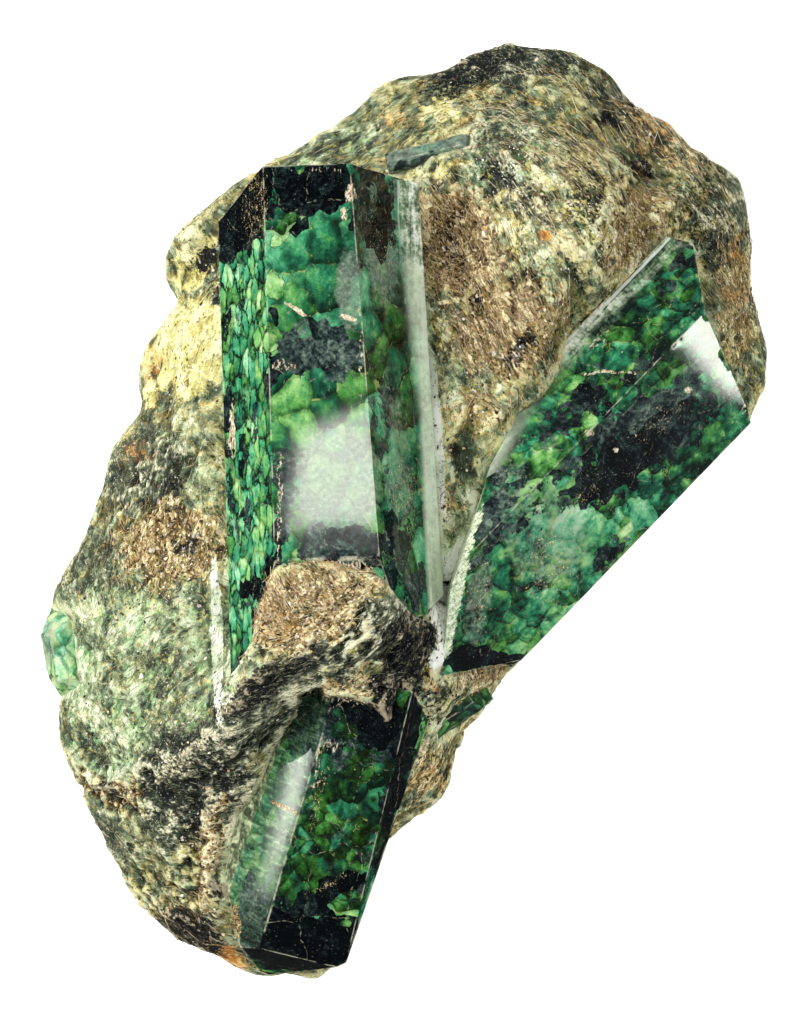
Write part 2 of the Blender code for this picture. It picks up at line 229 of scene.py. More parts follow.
# A face is (roll, dip, point): roll turns it from the front towards the right, dip leans it
# towards the upper end.  A block is the space inside its faces, and a crystal joins its blocks.
crystals = {
    "central_crystal": {
        "place": (-10.9, 21.0, 46.2), "heading": 1.9, "tilt": 7.0, "fillet": 1.5,
        "blocks": {
            "prism": [
                (front, 0, (0, 0, 0)), (-60, 0, (-5.8, 0, 0)), (60, 2.1, (5.8, 0, 0)),
                (-120, 0, (-11.9, 0, -10.6)), (120, 0, (11.9, 0, -10.6)), (back, 0, (0, 0, -20.8)),
                (front, upperEnd, (0, 21.7, 0)), (left, 51.5, (-5.9, 21.7, 0)),
                (front, -24.5, (0, -27.0, 0)), (front, -38.0, (0, -35.6, -4.0)),
                (right, -66.0, (-8.0, -42.2, 0)),
            ],
            "rim": [
                (35, -0.4, (11.7, 0, -9.7)), (right, 1.5, (13.8, 0, -11.2)), (left, 0, (6.0, 0, 0)),
                (back, 0, (0, 0, -15.0)), (front, upperEnd, (0, 21.2, 0)),
                (right, -44.0, (13.2, -32.0, 0)),
            ],
        },
        "notch": [(left, 0, (4.6, 0, 0)), (right, 46.2, (7.2, -29.8, 0))],
    },
    "right_crystal": {
        "place": (23.85, 11.1, 38.0), "heading": -44.3, "tilt": 7.5, "fillet": 1.6,
        "blocks": {
            "prism": [
                (-30, 0, (0, 0, 0)), (30, 0, (0, 0, 0)), (right, 0, (14.0, 0, 0)),
                (left, 0, (-9.8, 0, 0)), (left, -14.7, (-6.8, -8.0, 0)),
                (left, -25.2, (-2.0, -20.6, 0)), (left, -40.1, (6.0, -33.2, 0)),
                (right, -34.0, (10.5, -32.0, 0)), (left, 64.3, (-8.2, 24.9, 0)),
                (right, 63.4, (14.0, 15.0, 0)), (back, 0, (0, 0, -15.0)),
            ],
            "ground rim": [
                (-10, 0, (-6.9, 0, -4.0)), (left, 0, (-9.95, 0, 0)), (left, -14.7, (-6.95, -8.04, 0)),
                (left, 64.3, (-8.2, 24.6, 0)), (front, lowerEnd, (0, -8.0, 0)),
                (right, 0, (-3.0, 0, 0)), (back, 0, (0, 0, -13.0)),
            ],
            "ground rim bend": [
                (-11.7, 5.4, (-5.15, -7.6, -2.97)), (left, -14.7, (-7.05, -8.07, 0)),
                (left, -25.2, (-2.1, -20.65, 0)), (front, upperEnd, (0, 1.0, 0)),
                (right, -14.7, (-3.4, -8.0, 0)), (back, 0, (0, 0, -12.0)),
            ],
        },
        "notch": [(left, -49.0, (0, 19.4, 0)), (left, -73.7, (0, 19.4, 0))],
    },
    "lower_crystal": {
        "place": (-8.6, -37.5, 38.5), "heading": -13.7, "tilt": -8.9, "fillet": 1.0,
        "blocks": {
            "prism": [
                (front, 0, (0, 0, 0)), (-42, 1.8, (-4.4, 0, 0)), (-55, 3.0, (-9.4, 0, -4.5)),
                (left, 0, (-11.8, 0, 0)), (left, 45, (-9.0, 11.2, 0)), (72, 0, (5.6, 0, 0)),
                (88, -5.0, (7.2, 0, 0)), (back, 0, (0, 0, -14.0)), (back, 62, (0, 17.5, 0)),
                (front, -65, (0, -19.2, -1.0)), (left, -28.4, (-9.9, -15.5, 0)),
                (right, -50, (5.0, -18.4, 0)),
            ],
        },
    },
    "top_prism": {
        "place": (2.8, 44.9, 31.8), "heading": -76.0, "tilt": 2.0, "fillet": 1.0,
        "blocks": {
            "prism": [
                (-25, 0, (0, 0, 0)), (28, 0, (0, 0, 0)), (left, 0, (-1.2, 0, 0)),
                (right, 0, (1.3, 0, 0)), (back, 0, (0, 0, -3.4)), (front, 62, (0, 5.2, -0.4)),
                (front, lowerEnd, (0, -5.2, 0)),
            ],
        },
    },
    "edge_beryl": {
        "place": (-43.6, -18.2, 16.5), "heading": 11.0, "tilt": 0.0, "fillet": 1.0,
        "blocks": {
            "lump": [
                (-22, 0, (0, 0, 3.6)), (-66, 0, (-1.9, 0, 1.5)), (-112, 0, (-2.6, 0, -1.0)),
                (38, 8, (2.0, 0, 2.6)), (right, 0, (3.2, 0, 0)), (back, 0, (0, 0, -5.5)),
                (-20, 55, (0, 4.4, 1.0)), (-62, 48, (-1.8, 3.6, 0)), (-30, -58, (0, -4.6, 1.0)),
                (-70, -30, (-2.2, -3.4, 0)),
            ],
        },
    },
    "notch_beryl": {
        "place": (5.6, -24.2, 24.6), "heading": -56.0, "tilt": 0.0, "fillet": 1.0,
        "blocks": {
            "prism": [
                (front, 0, (0, 0, 0)), (-52, 0, (-1.4, 0, 0)), (50, 0, (1.6, 0, 0)),
                (left, 0, (-2.8, 0, 0)), (right, 0, (3.0, 0, 0)), (back, 0, (0, 0, -7.0)),
                (front, 70, (0, 2.6, 0)), (front, -70, (0, -3.2, 0)),
            ],
        },
    },
}


def outward(roll, dip):
    roll, dip = math.radians(roll), math.radians(dip)
    return (math.sin(roll) * math.cos(dip), math.sin(dip), math.cos(roll) * math.cos(dip))


# The rotation from the crystal's own frame, y along it and z out of its front, to the world.
def turnOf(crystal):
    t, h = -math.radians(crystal["tilt"]), math.radians(crystal["heading"])
    lean = np.array([[1, 0, 0], [0, math.cos(t), -math.sin(t)], [0, math.sin(t), math.cos(t)]])
    swing = np.array([[math.cos(h), -math.sin(h), 0], [math.sin(h), math.cos(h), 0], [0, 0, 1]])
    return swing @ lean


def toLocal(crystal, points):
    return (points - np.array(crystal["place"])) @ turnOf(crystal)


def toWorld(crystal, points):
    return points @ turnOf(crystal).T + np.array(crystal["place"])


# How far outside the nearest face each point is, that face's direction, and the same for the next face.
def blockDistance(faces, points):
    directions = np.array([outward(roll, dip) for roll, dip, _ in faces])
    offsets = dots(directions, np.array([point for *_, point in faces], float))
    distances = points @ directions.T - offsets
    order = np.argsort(-distances, axis=1)
    rows = np.arange(len(points))
    first, second = order[:, 0], order[:, 1]
    return distances[rows, first], directions[first], distances[rows, second], directions[second], first


# The same for a whole crystal, with a round fillet where its front meets the top of a rim.
def crystalDistance(crystal, points):
    found = None
    for faces in crystal["blocks"].values():
        distance, direction, nextDistance, nextDirection, face = blockDistance(faces, points)
        if found is None:
            found = [distance, direction, nextDistance, nextDirection]
            continue
        gap = found[0] - distance
        meet = (1 - np.clip(np.abs(gap) / crystal["fillet"], 0, 1)) * (face == 0)
        meet = meet * smooth(0, 1, distance - nextDistance) * smooth(0, 1, found[0] - found[2])
        apart = 1 - dots(found[1], direction)
        fill = 0.9 * crystal["fillet"] * meet ** 2 * np.clip(apart, 0, 1)
        other = (gap > 0)[:, None]
        share = np.clip(0.5 + 0.5 * gap / crystal["fillet"], 0, 1)[:, None]
        mixed = found[1] * (1 - share) + direction * share
        mixed = mixed / np.maximum(np.linalg.norm(mixed, axis=1), 1e-6)[:, None]
        found = [np.minimum(found[0], distance) - fill,
                 np.where((fill > 0)[:, None], mixed, np.where(other, direction, found[1])),
                 np.where(fill > 0, -9.0, np.where(gap > 0, nextDistance, found[2])),
                 np.where(other, nextDirection, found[3])]
    if "notch" in crystal:
        distance, direction, *_ = blockDistance(crystal["notch"], points)
        cut = -distance > found[0]
        near = -distance > found[2]
        found = [np.maximum(found[0], -distance),
                 np.where(cut[:, None], -direction, found[1]),
                 np.where(cut, found[0], np.where(near, -distance, found[2])),
                 np.where(cut[:, None], found[1], np.where(near[:, None], -direction, found[3]))]
    return found


# Moves points onto the crystal's true faces, and those close to an edge onto the edge.
def snapToFaces(crystal, points, edgeReach):
    for _ in range(3):
        distance, direction, nextDistance, nextDirection = crystalDistance(crystal, points)
        points = points - distance[:, None] * direction
    distance, direction, nextDistance, nextDirection = crystalDistance(crystal, points)
    cosine = dots(direction, nextDirection)
    close = (nextDistance > -edgeReach * np.sqrt(np.clip(1 - cosine ** 2, 0, 1))) & (cosine < 0.97)
    across = nextDirection - cosine[:, None] * direction
    shift = -nextDistance / np.maximum(1 - cosine ** 2, 0.05)
    points = points + np.where(close, shift, 0.0)[:, None] * across
    return points


def makeCrystal(node, spacing):
    crystal = crystals[node]
    low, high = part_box(node)
    longest = max(high - low) / mm
    depth = min(8, max(4, math.ceil(math.log2(longest / spacing))))
    share = longest / (spacing * 2 ** depth)
    piece = remeshedCopy(node, f"{node}_stone", mode="SHARP", octree_depth=depth, scale=min(0.99, share))
    local = snapToFaces(crystal, toLocal(crystal, readPoints(piece.data)), 0.7 * spacing)
    return piece, crystal, local


rock = {
    "spacing": 0.37,             # of the fine mesh
    "triangles": 197000,
    "roundings": 5,              # that smooth the CAD's facets
    "lumpSize": 6.0, "lumpDepth": 0.55,
    "plateSize": 3.4, "plateDepth": 0.45,
    "ledgeSize": (9.0, 9.0, 2.6), "ledgeDepth": 0.7,     # on the sides
    "chipSize": 1.4, "chipDepth": 0.10,
    "fibreLength": 7.0, "fibreWidth": 1.2, "fibreDepth": 0.26,
    "leastRelief": 0.22,         # outside the rough places
    "foldHeights": (4, 11),      # folds fade out from the second to the first
    "contactReach": 0.75,        # rock this close to a crystal is drawn onto it
    "contactTuck": 0.12,
    "freeHeights": (0.2, 2.0),   # relief grows with the distance to a crystal
    "footHeight": 1.6,           # the surface is left alone below this
}

# Patches of mineral: column, row, half width, half height, turn clockwise, amount.
minerals = {
    "gold": {
        "basin": (455, 245, 52, 62, -15, 0.75),
        "below the basin": (505, 330, 60, 52, -35, 0.7),
        "valley top": (470, 412, 34, 22, 0, 0.55),
        "crust under the central crystal": (305, 612, 62, 40, -22, 1.0),
        "crust corner": (365, 575, 26, 28, 0, 0.8),
        "left mica": (172, 545, 52, 42, -5, 0.85),
        "left ledge": (108, 790, 34, 12, 8, 0.9),
        "left ridge": (212, 845, 11, 60, 8, 0.95),
        "hollow above the right crystal": (640, 232, 30, 48, 28, 0.7),
        "saddle": (345, 685, 42, 13, -6, 0.6),
        "lower right lobe": (428, 770, 30, 32, 15, 0.6),
        "shoulder": (560, 200, 62, 70, 20, 0.3),
        "right rim": (735, 300, 22, 80, -4, 0.55),
        "top right": (660, 140, 60, 26, 38, 0.45),
        "foot": (180, 920, 45, 26, 38, 0.5),
        "brown fragment": (450, 505, 14, 22, 0, 0.6),
        "right crystal's foot": (480, 677, 34, 10, -5, 0.8),
    },
    "cream": {
        "left shoulder": (192, 345, 40, 52, 8, 1.0),
        "knob slope": (195, 262, 26, 44, 14, 0.62),
        "shoulder rim": (155, 372, 22, 40, 10, 0.55),
        "left knob": (185, 275, 22, 18, 20, 0.5),
        "yellow patch": (438, 112, 22, 12, -8, 0.7),
        "below the top prism": (425, 172, 46, 12, -12, 0.55),
        "pale shoulder": (520, 222, 46, 44, 30, 0.38),
        "shoulder slope": (590, 240, 50, 44, 30, 0.5),
        "shoulder edge": (560, 170, 50, 30, 20, 0.45),
        "hollow's floor": (644, 228, 15, 36, 30, 1.2),
        "ridge top": (212, 858, 7, 26, 5, 0.9),
        "crust light": (300, 605, 44, 20, -22, 0.45),
        "crest light": (352, 650, 56, 5, -38, 0.5),
        "crust corner light": (368, 562, 16, 16, 0, 0.7),
        "pale fold": (190, 845, 13, 20, 20, 0.6),
        "ledge": (175, 765, 44, 10, -28, 0.35),
        "green basin edge": (455, 320, 18, 40, 20, 0.5),
    },
    "slate": {
        "foliated slope": (195, 790, 62, 70, 10, 1.0),
        "ridge": (330, 662, 110, 30, -36, 1.0),
        "saddle": (262, 722, 56, 34, -30, 0.95),
        "foot": (185, 925, 46, 24, 36, 0.6),
        "left facets": (105, 840, 22, 50, -30, 0.6),
        "top rim": (500, 62, 90, 20, -8, 0.9),
        "top right rim": (650, 130, 80, 26, 38, 0.7),
        "top smooth": (500, 130, 40, 36, 10, 0.6),
        "right rim": (728, 240, 30, 120, -4, 0.55),
        "middle left": (140, 470, 56, 50, -30, 0.65),
        "left rim": (90, 560, 40, 50, 20, 0.5),
        "valley": (462, 480, 26, 60, 6, 0.35),
        "valley low": (420, 610, 24, 26, 0, 0.5),
        "shoulder crack": (520, 195, 40, 16, 30, 0.7),
    },
    "talc": {
        "selvage left": (217, 642, 5, 78, -2, 1.6),
        "selvage right": (449, 604, 13, 60, 12, 1.8),
        "selvage knob": (443, 648, 9, 13, 10, 1.6),
        "rim strip": (436, 430, 7, 90, -4, 0.9),
    },
    "sage": {
        "left slope": (140, 665, 96, 108, 0, 0.95),
        "left slope low": (110, 745, 58, 40, 20, 0.7),
        "middle left": (165, 460, 62, 58, 0, 0.45),
        "shoulder": (505, 160, 60, 40, 0, 0.75),
        "pale shoulder": (545, 225, 80, 56, 25, 0.55),
        "valley": (458, 560, 26, 100, 4, 0.6),
        "green valley": (468, 385, 36, 36, 0, 0.55),
        "above the central crystal": (340, 146, 56, 20, -16, 0.6),
        "broken flank": (232, 835, 14, 44, 8, 0.5),
        "notch": (442, 722, 20, 26, 20, 0.4),
        "rim strip": (425, 400, 14, 110, -4, 0.6),
        "left facets": (112, 850, 26, 44, -30, 0.45),
        "left knob": (178, 262, 26, 30, 20, 0.35),
    },
    "black": {
        "crust patch": (408, 650, 25, 40, 12, 1.25),
        "crust hole": (394, 688, 24, 16, 20, 1.1),
        "crust tail": (380, 714, 26, 12, 10, 1.0),
        "valley notch": (430, 700, 12, 18, 20, 0.5),
        "crack under the right crystal": (448, 719, 20, 5, -8, 1.0),
        "knob hollow": (206, 262, 11, 16, 20, 0.85),
        "knob hollow low": (212, 290, 8, 14, 10, 0.5),
        "left mica pit": (184, 546, 15, 11, 10, 0.75),
        "ledge hole": (108, 788, 6, 8, 0, 0.95),
        "grooves": (176, 486, 14, 24, 8, 0.55),
        "top left rim": (470, 72, 60, 20, -24, 0.6),
        "top rim": (585, 66, 46, 18, 12, 0.4),
        "rim notch": (610, 121, 13, 7, 20, 0.9),
        "rim notch low": (642, 169, 10, 9, 0, 0.85),
        "shoulder flakes": (500, 172, 26, 16, 20, 0.55),
        "shoulder right": (588, 200, 24, 30, 30, 0.45),
        "lath": (520, 352, 26, 9, -48, 0.75),
        "ridge shade": (265, 684, 66, 16, -34, 0.75),
        "foliated slope": (200, 780, 60, 54, 10, 0.5),
        "foot": (190, 930, 40, 22, 36, 0.75),
        "fold": (223, 892, 14, 9, 0, 0.85),
        "left facets": (98, 838, 10, 26, -22, 0.5),
        "rim above the right crystal": (704, 225, 30, 46, -20, 0.45),
        "lobe shade": (452, 690, 26, 10, -10, 0.4),
    },
    "rust": {
        "orange chip": (229, 962, 18, 12, 30, 1.0),
        "shoulder spot": (482, 230, 6, 5, 0, 0.95),
        "shoulder spot low": (547, 236, 9, 5, 0, 0.8),
        "top spots": (392, 116, 16, 12, 0, 0.36),
        "left orange": (135, 455, 20, 15, 0, 0.34),
        "left orange high": (150, 365, 12, 24, 0, 0.45),
        "right rim": (734, 252, 8, 16, 0, 0.5),
        "right rim low": (731, 300, 7, 14, 0, 0.42),
        "top right": (665, 125, 36, 18, 35, 0.35),
        "lobe streak": (437, 690, 5, 3, 0, 0.9),
        "crust": (275, 625, 24, 22, 0, 0.45),
        "lower right lobe": (430, 775, 22, 22, 15, 0.3),
    },
}

# Which way the mica lies, as degrees anticlockwise from +X, and where.
layings = {
    "steep": {
        "angle": -56, "patches": {
            "basin": (455, 250, 62, 75, -15, 1.0),
            "below the basin": (510, 340, 66, 56, -35, 1.0),
            "shoulder": (545, 200, 90, 90, 20, 0.8),
            "top": (600, 100, 160, 60, 20, 0.6),
            "right rim": (735, 260, 40, 160, 0, 0.5),
            "folds": (220, 915, 26, 34, 20, 0.8),
        },
    },
    "upright": {
        "angle": 92, "patches": {
            "valley": (455, 545, 44, 125, 4, 1.0),
            "selvage left": (212, 640, 14, 100, 1, 1.0),
            "left mica": (170, 510, 40, 70, 0, 0.5),
            "left shoulder": (180, 350, 50, 70, 0, 0.4),
            "lobe": (430, 760, 34, 60, 15, 0.7),
        },
    },
    "sweeping": {
        "angle": 37, "patches": {
            "ridge": (330, 655, 125, 46, -36, 1.0),
            "saddle": (270, 715, 60, 46, -30, 1.0),
            "lower left": (150, 715, 110, 90, -20, 0.9),
            "top left": (350, 130, 90, 40, -25, 0.7),
        },
    },
    "level": {
        "angle": 8, "patches": {
            "foliated slope": (185, 815, 70, 70, 10, 1.0),
            "left facets": (110, 830, 50, 70, -20, 0.5),
        },
    },
}
# Crests and troughs, with their height in millimetres.
folds = {
    "main crest": (290, 655, 78, 10, -36, 0.7),
    "second crest": (352, 640, 50, 5, -48, 0.5),
    "golden fold": (212, 850, 8, 64, -2, 0.9),
    "golden groove": (195, 848, 7, 50, -2, -0.7),
    "lower lip": (158, 903, 42, 6, 28, 0.7),
    "lower trough": (172, 884, 30, 6, 24, -0.6),
    "sage lip": (165, 760, 62, 10, -22, 0.6),
    "sage trough": (172, 788, 60, 8, -16, -0.6),
    "ledge rim": (92, 768, 36, 10, 38, 0.5),
    "ledge hollow": (100, 792, 22, 8, 30, -0.8),
    "saddle trough": (262, 738, 52, 8, -36, -0.7),
    "left rib": (150, 470, 60, 6, -58, 0.5),
    "left trough": (172, 478, 50, 7, -58, -0.5),
    "basin": (448, 235, 26, 62, -12, -1.0),
    "basin's lip": (492, 250, 8, 60, -12, 0.7),
    "strand ledge": (500, 300, 8, 46, -38, 0.8),
    "strand hollow": (522, 268, 7, 44, -34, -0.6),
    "valley": (468, 470, 10, 90, 4, -0.4),
    "valley rib": (446, 480, 6, 90, 4, 0.5),
    "tan hollow": (636, 232, 15, 34, 32, -1.0),
    "hollow's lip": (612, 205, 6, 40, 30, 0.7),
    "shoulder rib": (560, 150, 60, 14, 24, 0.4),
    "top rib": (520, 100, 70, 16, -16, 0.4),
    "rim rib": (700, 190, 60, 14, 52, 0.4),
}
roughPlaces = {
    "crust": (310, 610, 70, 46, -22, 1.0),
    "left mica": (172, 545, 56, 44, -5, 1.0),
    "basin": (470, 270, 70, 90, -20, 1.0),
    "shoulder": (560, 220, 80, 90, 20, 0.35),
    "black crust": (395, 670, 60, 50, 20, 1.0),
    "foliated slope": (190, 810, 80, 90, 10, 0.55),
    "ledge": (110, 785, 40, 16, 8, 1.0),
    "folds": (215, 860, 30, 60, 10, 0.8),
    "right rim": (725, 260, 60, 180, 0, 0.15),
    "lobe": (430, 750, 40, 80, 15, 0.7),
}


# How far the rims of each mineral's patches wander, in pixels.
wandering = {"gold": 18, "cream": 16, "talc": 2, "slate": 20, "sage": 24, "black": 12, "rust": 9}


def layerColumns(points, octaves, *seeds):
    return np.stack([layers(points, octaves, seed) for seed in seeds], axis=1)


# Where points show, with the patches' rims made ragged.
def wanderedPixels(points, far=20, near=7):
    return (seen(points) + layerColumns(points / 3.2, 3, 41, 47) * far
            + layerColumns(points / 0.9, 2, 53, 59) * near)


# Where a crystal stands clear of the rock: crystal, column, row, half width, half height, turn.
bared = {
    "lower crystal's top": ("lower_crystal", (345, 722, 46, 24, 14, 1.0)),
    "blade's top": ("lower_crystal", (308, 715, 13, 34, 13, 1.0)),
}


# The height of the crystal's upper surface above or below each point.
def coverHeight(crystal, points):
    heights = np.arange(20, 50, 0.1)
    cover = np.full(len(points), -99.0)
    for height in heights:
        level = points.copy()
        level[:, 2] = height
        inside = crystalDistance(crystal, toLocal(crystal, level))[0] <= 0
        cover = np.where(inside, height, cover)
    return cover


# Lowers the rock where a crystal shows.
def bareCrystals(points):
    for node, place in bared.values():
        share = patch(seen(points), *place, soft=0.22)
        chosen = np.nonzero(share > 0.01)[0]
        cover = coverHeight(crystals[node], points[chosen])
        allowed = cover - 0.5 + 9 * (1 - share[chosen]) ** 2
        lowered = np.minimum(points[chosen, 2], allowed)
        points[chosen, 2] = np.where(cover > 0, lowered, points[chosen, 2])
    return points


# Distance to the nearest crystal, and the direction that its surface looks in there.
def nearestCrystal(points):
    reach, facing = np.full(len(points), 99.0), np.zeros((len(points), 3))
    for crystal in crystals.values():
        distance, direction, *_ = crystalDistance(crystal, toLocal(crystal, points))
        facing = np.where((distance < reach)[:, None], direction @ turnOf(crystal).T, facing)
        reach = np.minimum(reach, distance)
    return reach, facing


# The piece's mesh, collapsed to the rock's number of triangles, or only where a vertex group lies.
def thinned(piece, group=""):
    thin = piece.modifiers.new("thin", "DECIMATE")
    thin.vertex_group = group
    thin.vertex_group_factor = 1000
    thin.ratio = min(1.0, rock["triangles"] / sum(len(face.vertices) - 2 for face in piece.data.polygons))
    return applied(piece)


# Collapses the fine mesh where nothing shows: on the flat back, and in the crystals' sockets.
def thinHidden(piece, points):
    reach, facing = nearestCrystal(points)
    normals = readNormals(piece.data)
    socket = (reach < 0.5) & (dots(normals, facing) < -0.8)
    hidden = (socket | ((points[:, 2] < 0.05) & (normals[:, 2] < -0.9))).astype(float)
    hidden = np.where(neighbourMean(piece.data, hidden) > 0.99, hidden, 0.0)
    group = piece.vertex_groups.new(name="hidden")
    group.add([int(i) for i in np.nonzero(hidden)[0]], 1.0, "REPLACE")
    mesh = thinned(piece, "hidden")
    piece.vertex_groups.clear()
    return mesh


# How far the lumps, plates, chips and fibres stand out, each laid as its part of the rock lies.
def rockRelief(points, weights):
    warped = points + 0.5 * layerColumns(points / 4, 2, 61, 67, 71)
    relief = np.zeros(len(points))
    for order, (name, laying) in enumerate(layings.items()):
        def laidOut(length, width):
            return along(warped, laying["angle"], length, width)

        big = plates(laidOut(rock["plateSize"] * 1.8, rock["plateSize"]), 11)[0]
        small = plates(laidOut(rock["chipSize"] * 2, rock["chipSize"]), 13)[0]
        fibres = layers(laidOut(rock["fibreLength"], rock["fibreWidth"]), 2, 17 + order)
        relief += weights[name] * (
            rock["plateDepth"] * np.clip(big, -1.2, 1.2) + rock["chipDepth"] * np.clip(small, -1.2, 1.2)
            + rock["fibreDepth"] * fibres)
    return relief


def foldRelief(pixels):
    return sum(patch(pixels, *fold, soft=0.8) for fold in folds.values())


# 1 on the steep sides, 0 on the top.
def flankShare(normals):
    return 1 - smooth(0.15, 0.55, normals[:, 2])


# Draws the rock onto the crystals that it grips.
def gripCrystals(points):
    for crystal in crystals.values():
        distance, direction, *_ = crystalDistance(crystal, toLocal(crystal, points))
        near = (distance > -0.4) & (distance < rock["contactReach"])
        pull = np.where(near, distance + rock["contactTuck"], 0)
        pull = pull * (1 - smooth(0.45, rock["contactReach"], distance))
        points = points - pull[:, None] * (direction @ turnOf(crystal).T)
    return points


def makeRock():
    piece = remeshedCopy("matrix", "schist_rock", mode="VOXEL", voxel_size=rock["spacing"] * mm)
    mesh = piece.data
    points = readPoints(mesh)
    for _ in range(rock["roundings"]):
        points += 0.5 * (neighbourMean(mesh, points) - points) * (points[:, 2] > 0.2)[:, None]
    writePoints(mesh, points)
    mesh = thinHidden(piece, points)
    points, normals = readPoints(mesh), readNormals(mesh)
    pixels = wanderedPixels(points)
    weights = {name: patchwork(pixels, laying["patches"]) for name, laying in layings.items()}
    weights["steep"] = np.maximum(weights["steep"], 0.12)
    weightSum = sum(weights.values())
    weights = {name: weight / weightSum for name, weight in weights.items()}

    rough = rock["leastRelief"] + (1 - rock["leastRelief"]) * patchwork(pixels, roughPlaces)
    shift = (rock["lumpDepth"] * layers(points / rock["lumpSize"], 3, 3)
             + rockRelief(points, weights) * rough
             + foldRelief(pixels) * smooth(*rock["foldHeights"], points[:, 2])
             + rock["ledgeDepth"] * flankShare(normals) * layers(points / rock["ledgeSize"], 3, 91))
    shift *= smooth(*rock["freeHeights"], nearestCrystal(points)[0])
    shift *= smooth(0.1, rock["footHeight"], points[:, 2])
    points = points + normals * shift[:, None]
    points[:, 2] = np.maximum(points[:, 2], 0.0)
    points = gripCrystals(bareCrystals(points))
    points[:, 2] = np.maximum(points[:, 2], 0.0)
    writePoints(mesh, points)

    pixels = wanderedPixels(points)
    normals = readNormals(mesh)
    flank = flankShare(normals)
    # Painted light and shade: crest is how far a point stands above its near neighbours, swell how far above
    # its wider surroundings; the schist's colour is made lighter on them and darker in hollows.
    blurred = points
    for count, name, gain in ((4, "crest", 1.8), (22, "swell", 0.9)):
        for _ in range(count):
            blurred = neighbourMean(mesh, blurred)
        store(mesh, name, np.clip(0.5 + gain * dots(points - blurred, normals), 0, 1))
    # Painted light and shade along the folds: colour lighter on their crests and darker in their troughs.
    store(mesh, "fold", np.clip(0.5 + 0.5 * foldRelief(pixels), 0, 1))
    store(mesh, "flank", flank)
    store(mesh, "rough", np.clip(patchwork(pixels, roughPlaces) + flank, 0, 1))
    for mineral, patches in minerals.items():
        far = wandering[mineral] * (1 + 1.5 * flank)[:, None]
        store(mesh, mineral, patchwork(wanderedPixels(points, far, wandering[mineral] / 3), patches))
    for name, weight in weights.items():
        store(mesh, name, weight)
    mesh = thinned(piece)
    mesh.shade_smooth()
    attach(piece, "root")
    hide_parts("matrix")
    print("rock:", len(mesh.polygons), "faces")
    return piece


flakes = {
    "gold_mica_flakes": {
        "mineral": "gold", "count": 4500, "corners": 5, "length": (0.25, 1.0), "width": (0.4, 0.9),
        "thickness": 0.05, "lift": 0.03, "tilt": 0.55, "stray": 0.5, "finish": "gold mica",
    },
    "gold_mica_threads": {
        "mineral": "steep", "count": 9000, "corners": 4, "length": (1.0, 4.2), "width": (0.04, 0.08),
        "thickness": 0.05, "lift": 0.03, "tilt": 0.22, "stray": 0.3, "finish": "gold mica",
    },
    "pale_talc_flakes": {
        "mineral": "pale", "count": 2500, "corners": 5, "length": (0.25, 0.7), "width": (0.4, 0.9),
        "thickness": 0.06, "lift": 0.03, "tilt": 0.35, "stray": 0.5, "finish": "pale talc",
    },
    "dark_mica_flakes": {
        "mineral": "dark", "count": 3500, "corners": 5, "length": (0.3, 0.9), "width": (0.3, 0.8),
        "thickness": 0.05, "lift": 0.03, "tilt": 0.35, "stray": 0.4, "finish": "dark mica",
    },
    "green_mica_threads": {
        "mineral": "green", "count": 5000, "corners": 4, "length": (0.7, 2.2), "width": (0.05, 0.10),
        "thickness": 0.05, "lift": 0.01, "tilt": 0.15, "stray": 0.18, "finish": "green mica",
    },
}


def readValues(mesh, name):
    return read(mesh.attributes[name].data, "value", 1)[:, 0]


# How likely a flake of this mineral is at each vertex of the rock.
def growthOf(mesh, mineral):
    value = {name: readValues(mesh, name) for name in [*minerals, *layings]}
    bare = (1 - np.clip(value["black"] + value["talc"], 0, 1)) ** 2
    if mineral == "gold":
        return (value["gold"] ** 3 + 0.01) * bare + 0.003
    if mineral == "steep":
        return value["steep"] * (value["gold"] ** 1.5 + 0.06) * bare
    if mineral == "pale":
        return 0.6 * value["cream"] + 0.5 * value["gold"] ** 2 + 0.1 * value["sage"] + 0.02
    if mineral == "dark":
        return value["black"] + 0.25 * value["gold"] + 0.06
    return value["sage"] * 0.3 + value["sweeping"] * 0.8 + value["level"] * 0.5 + 0.04


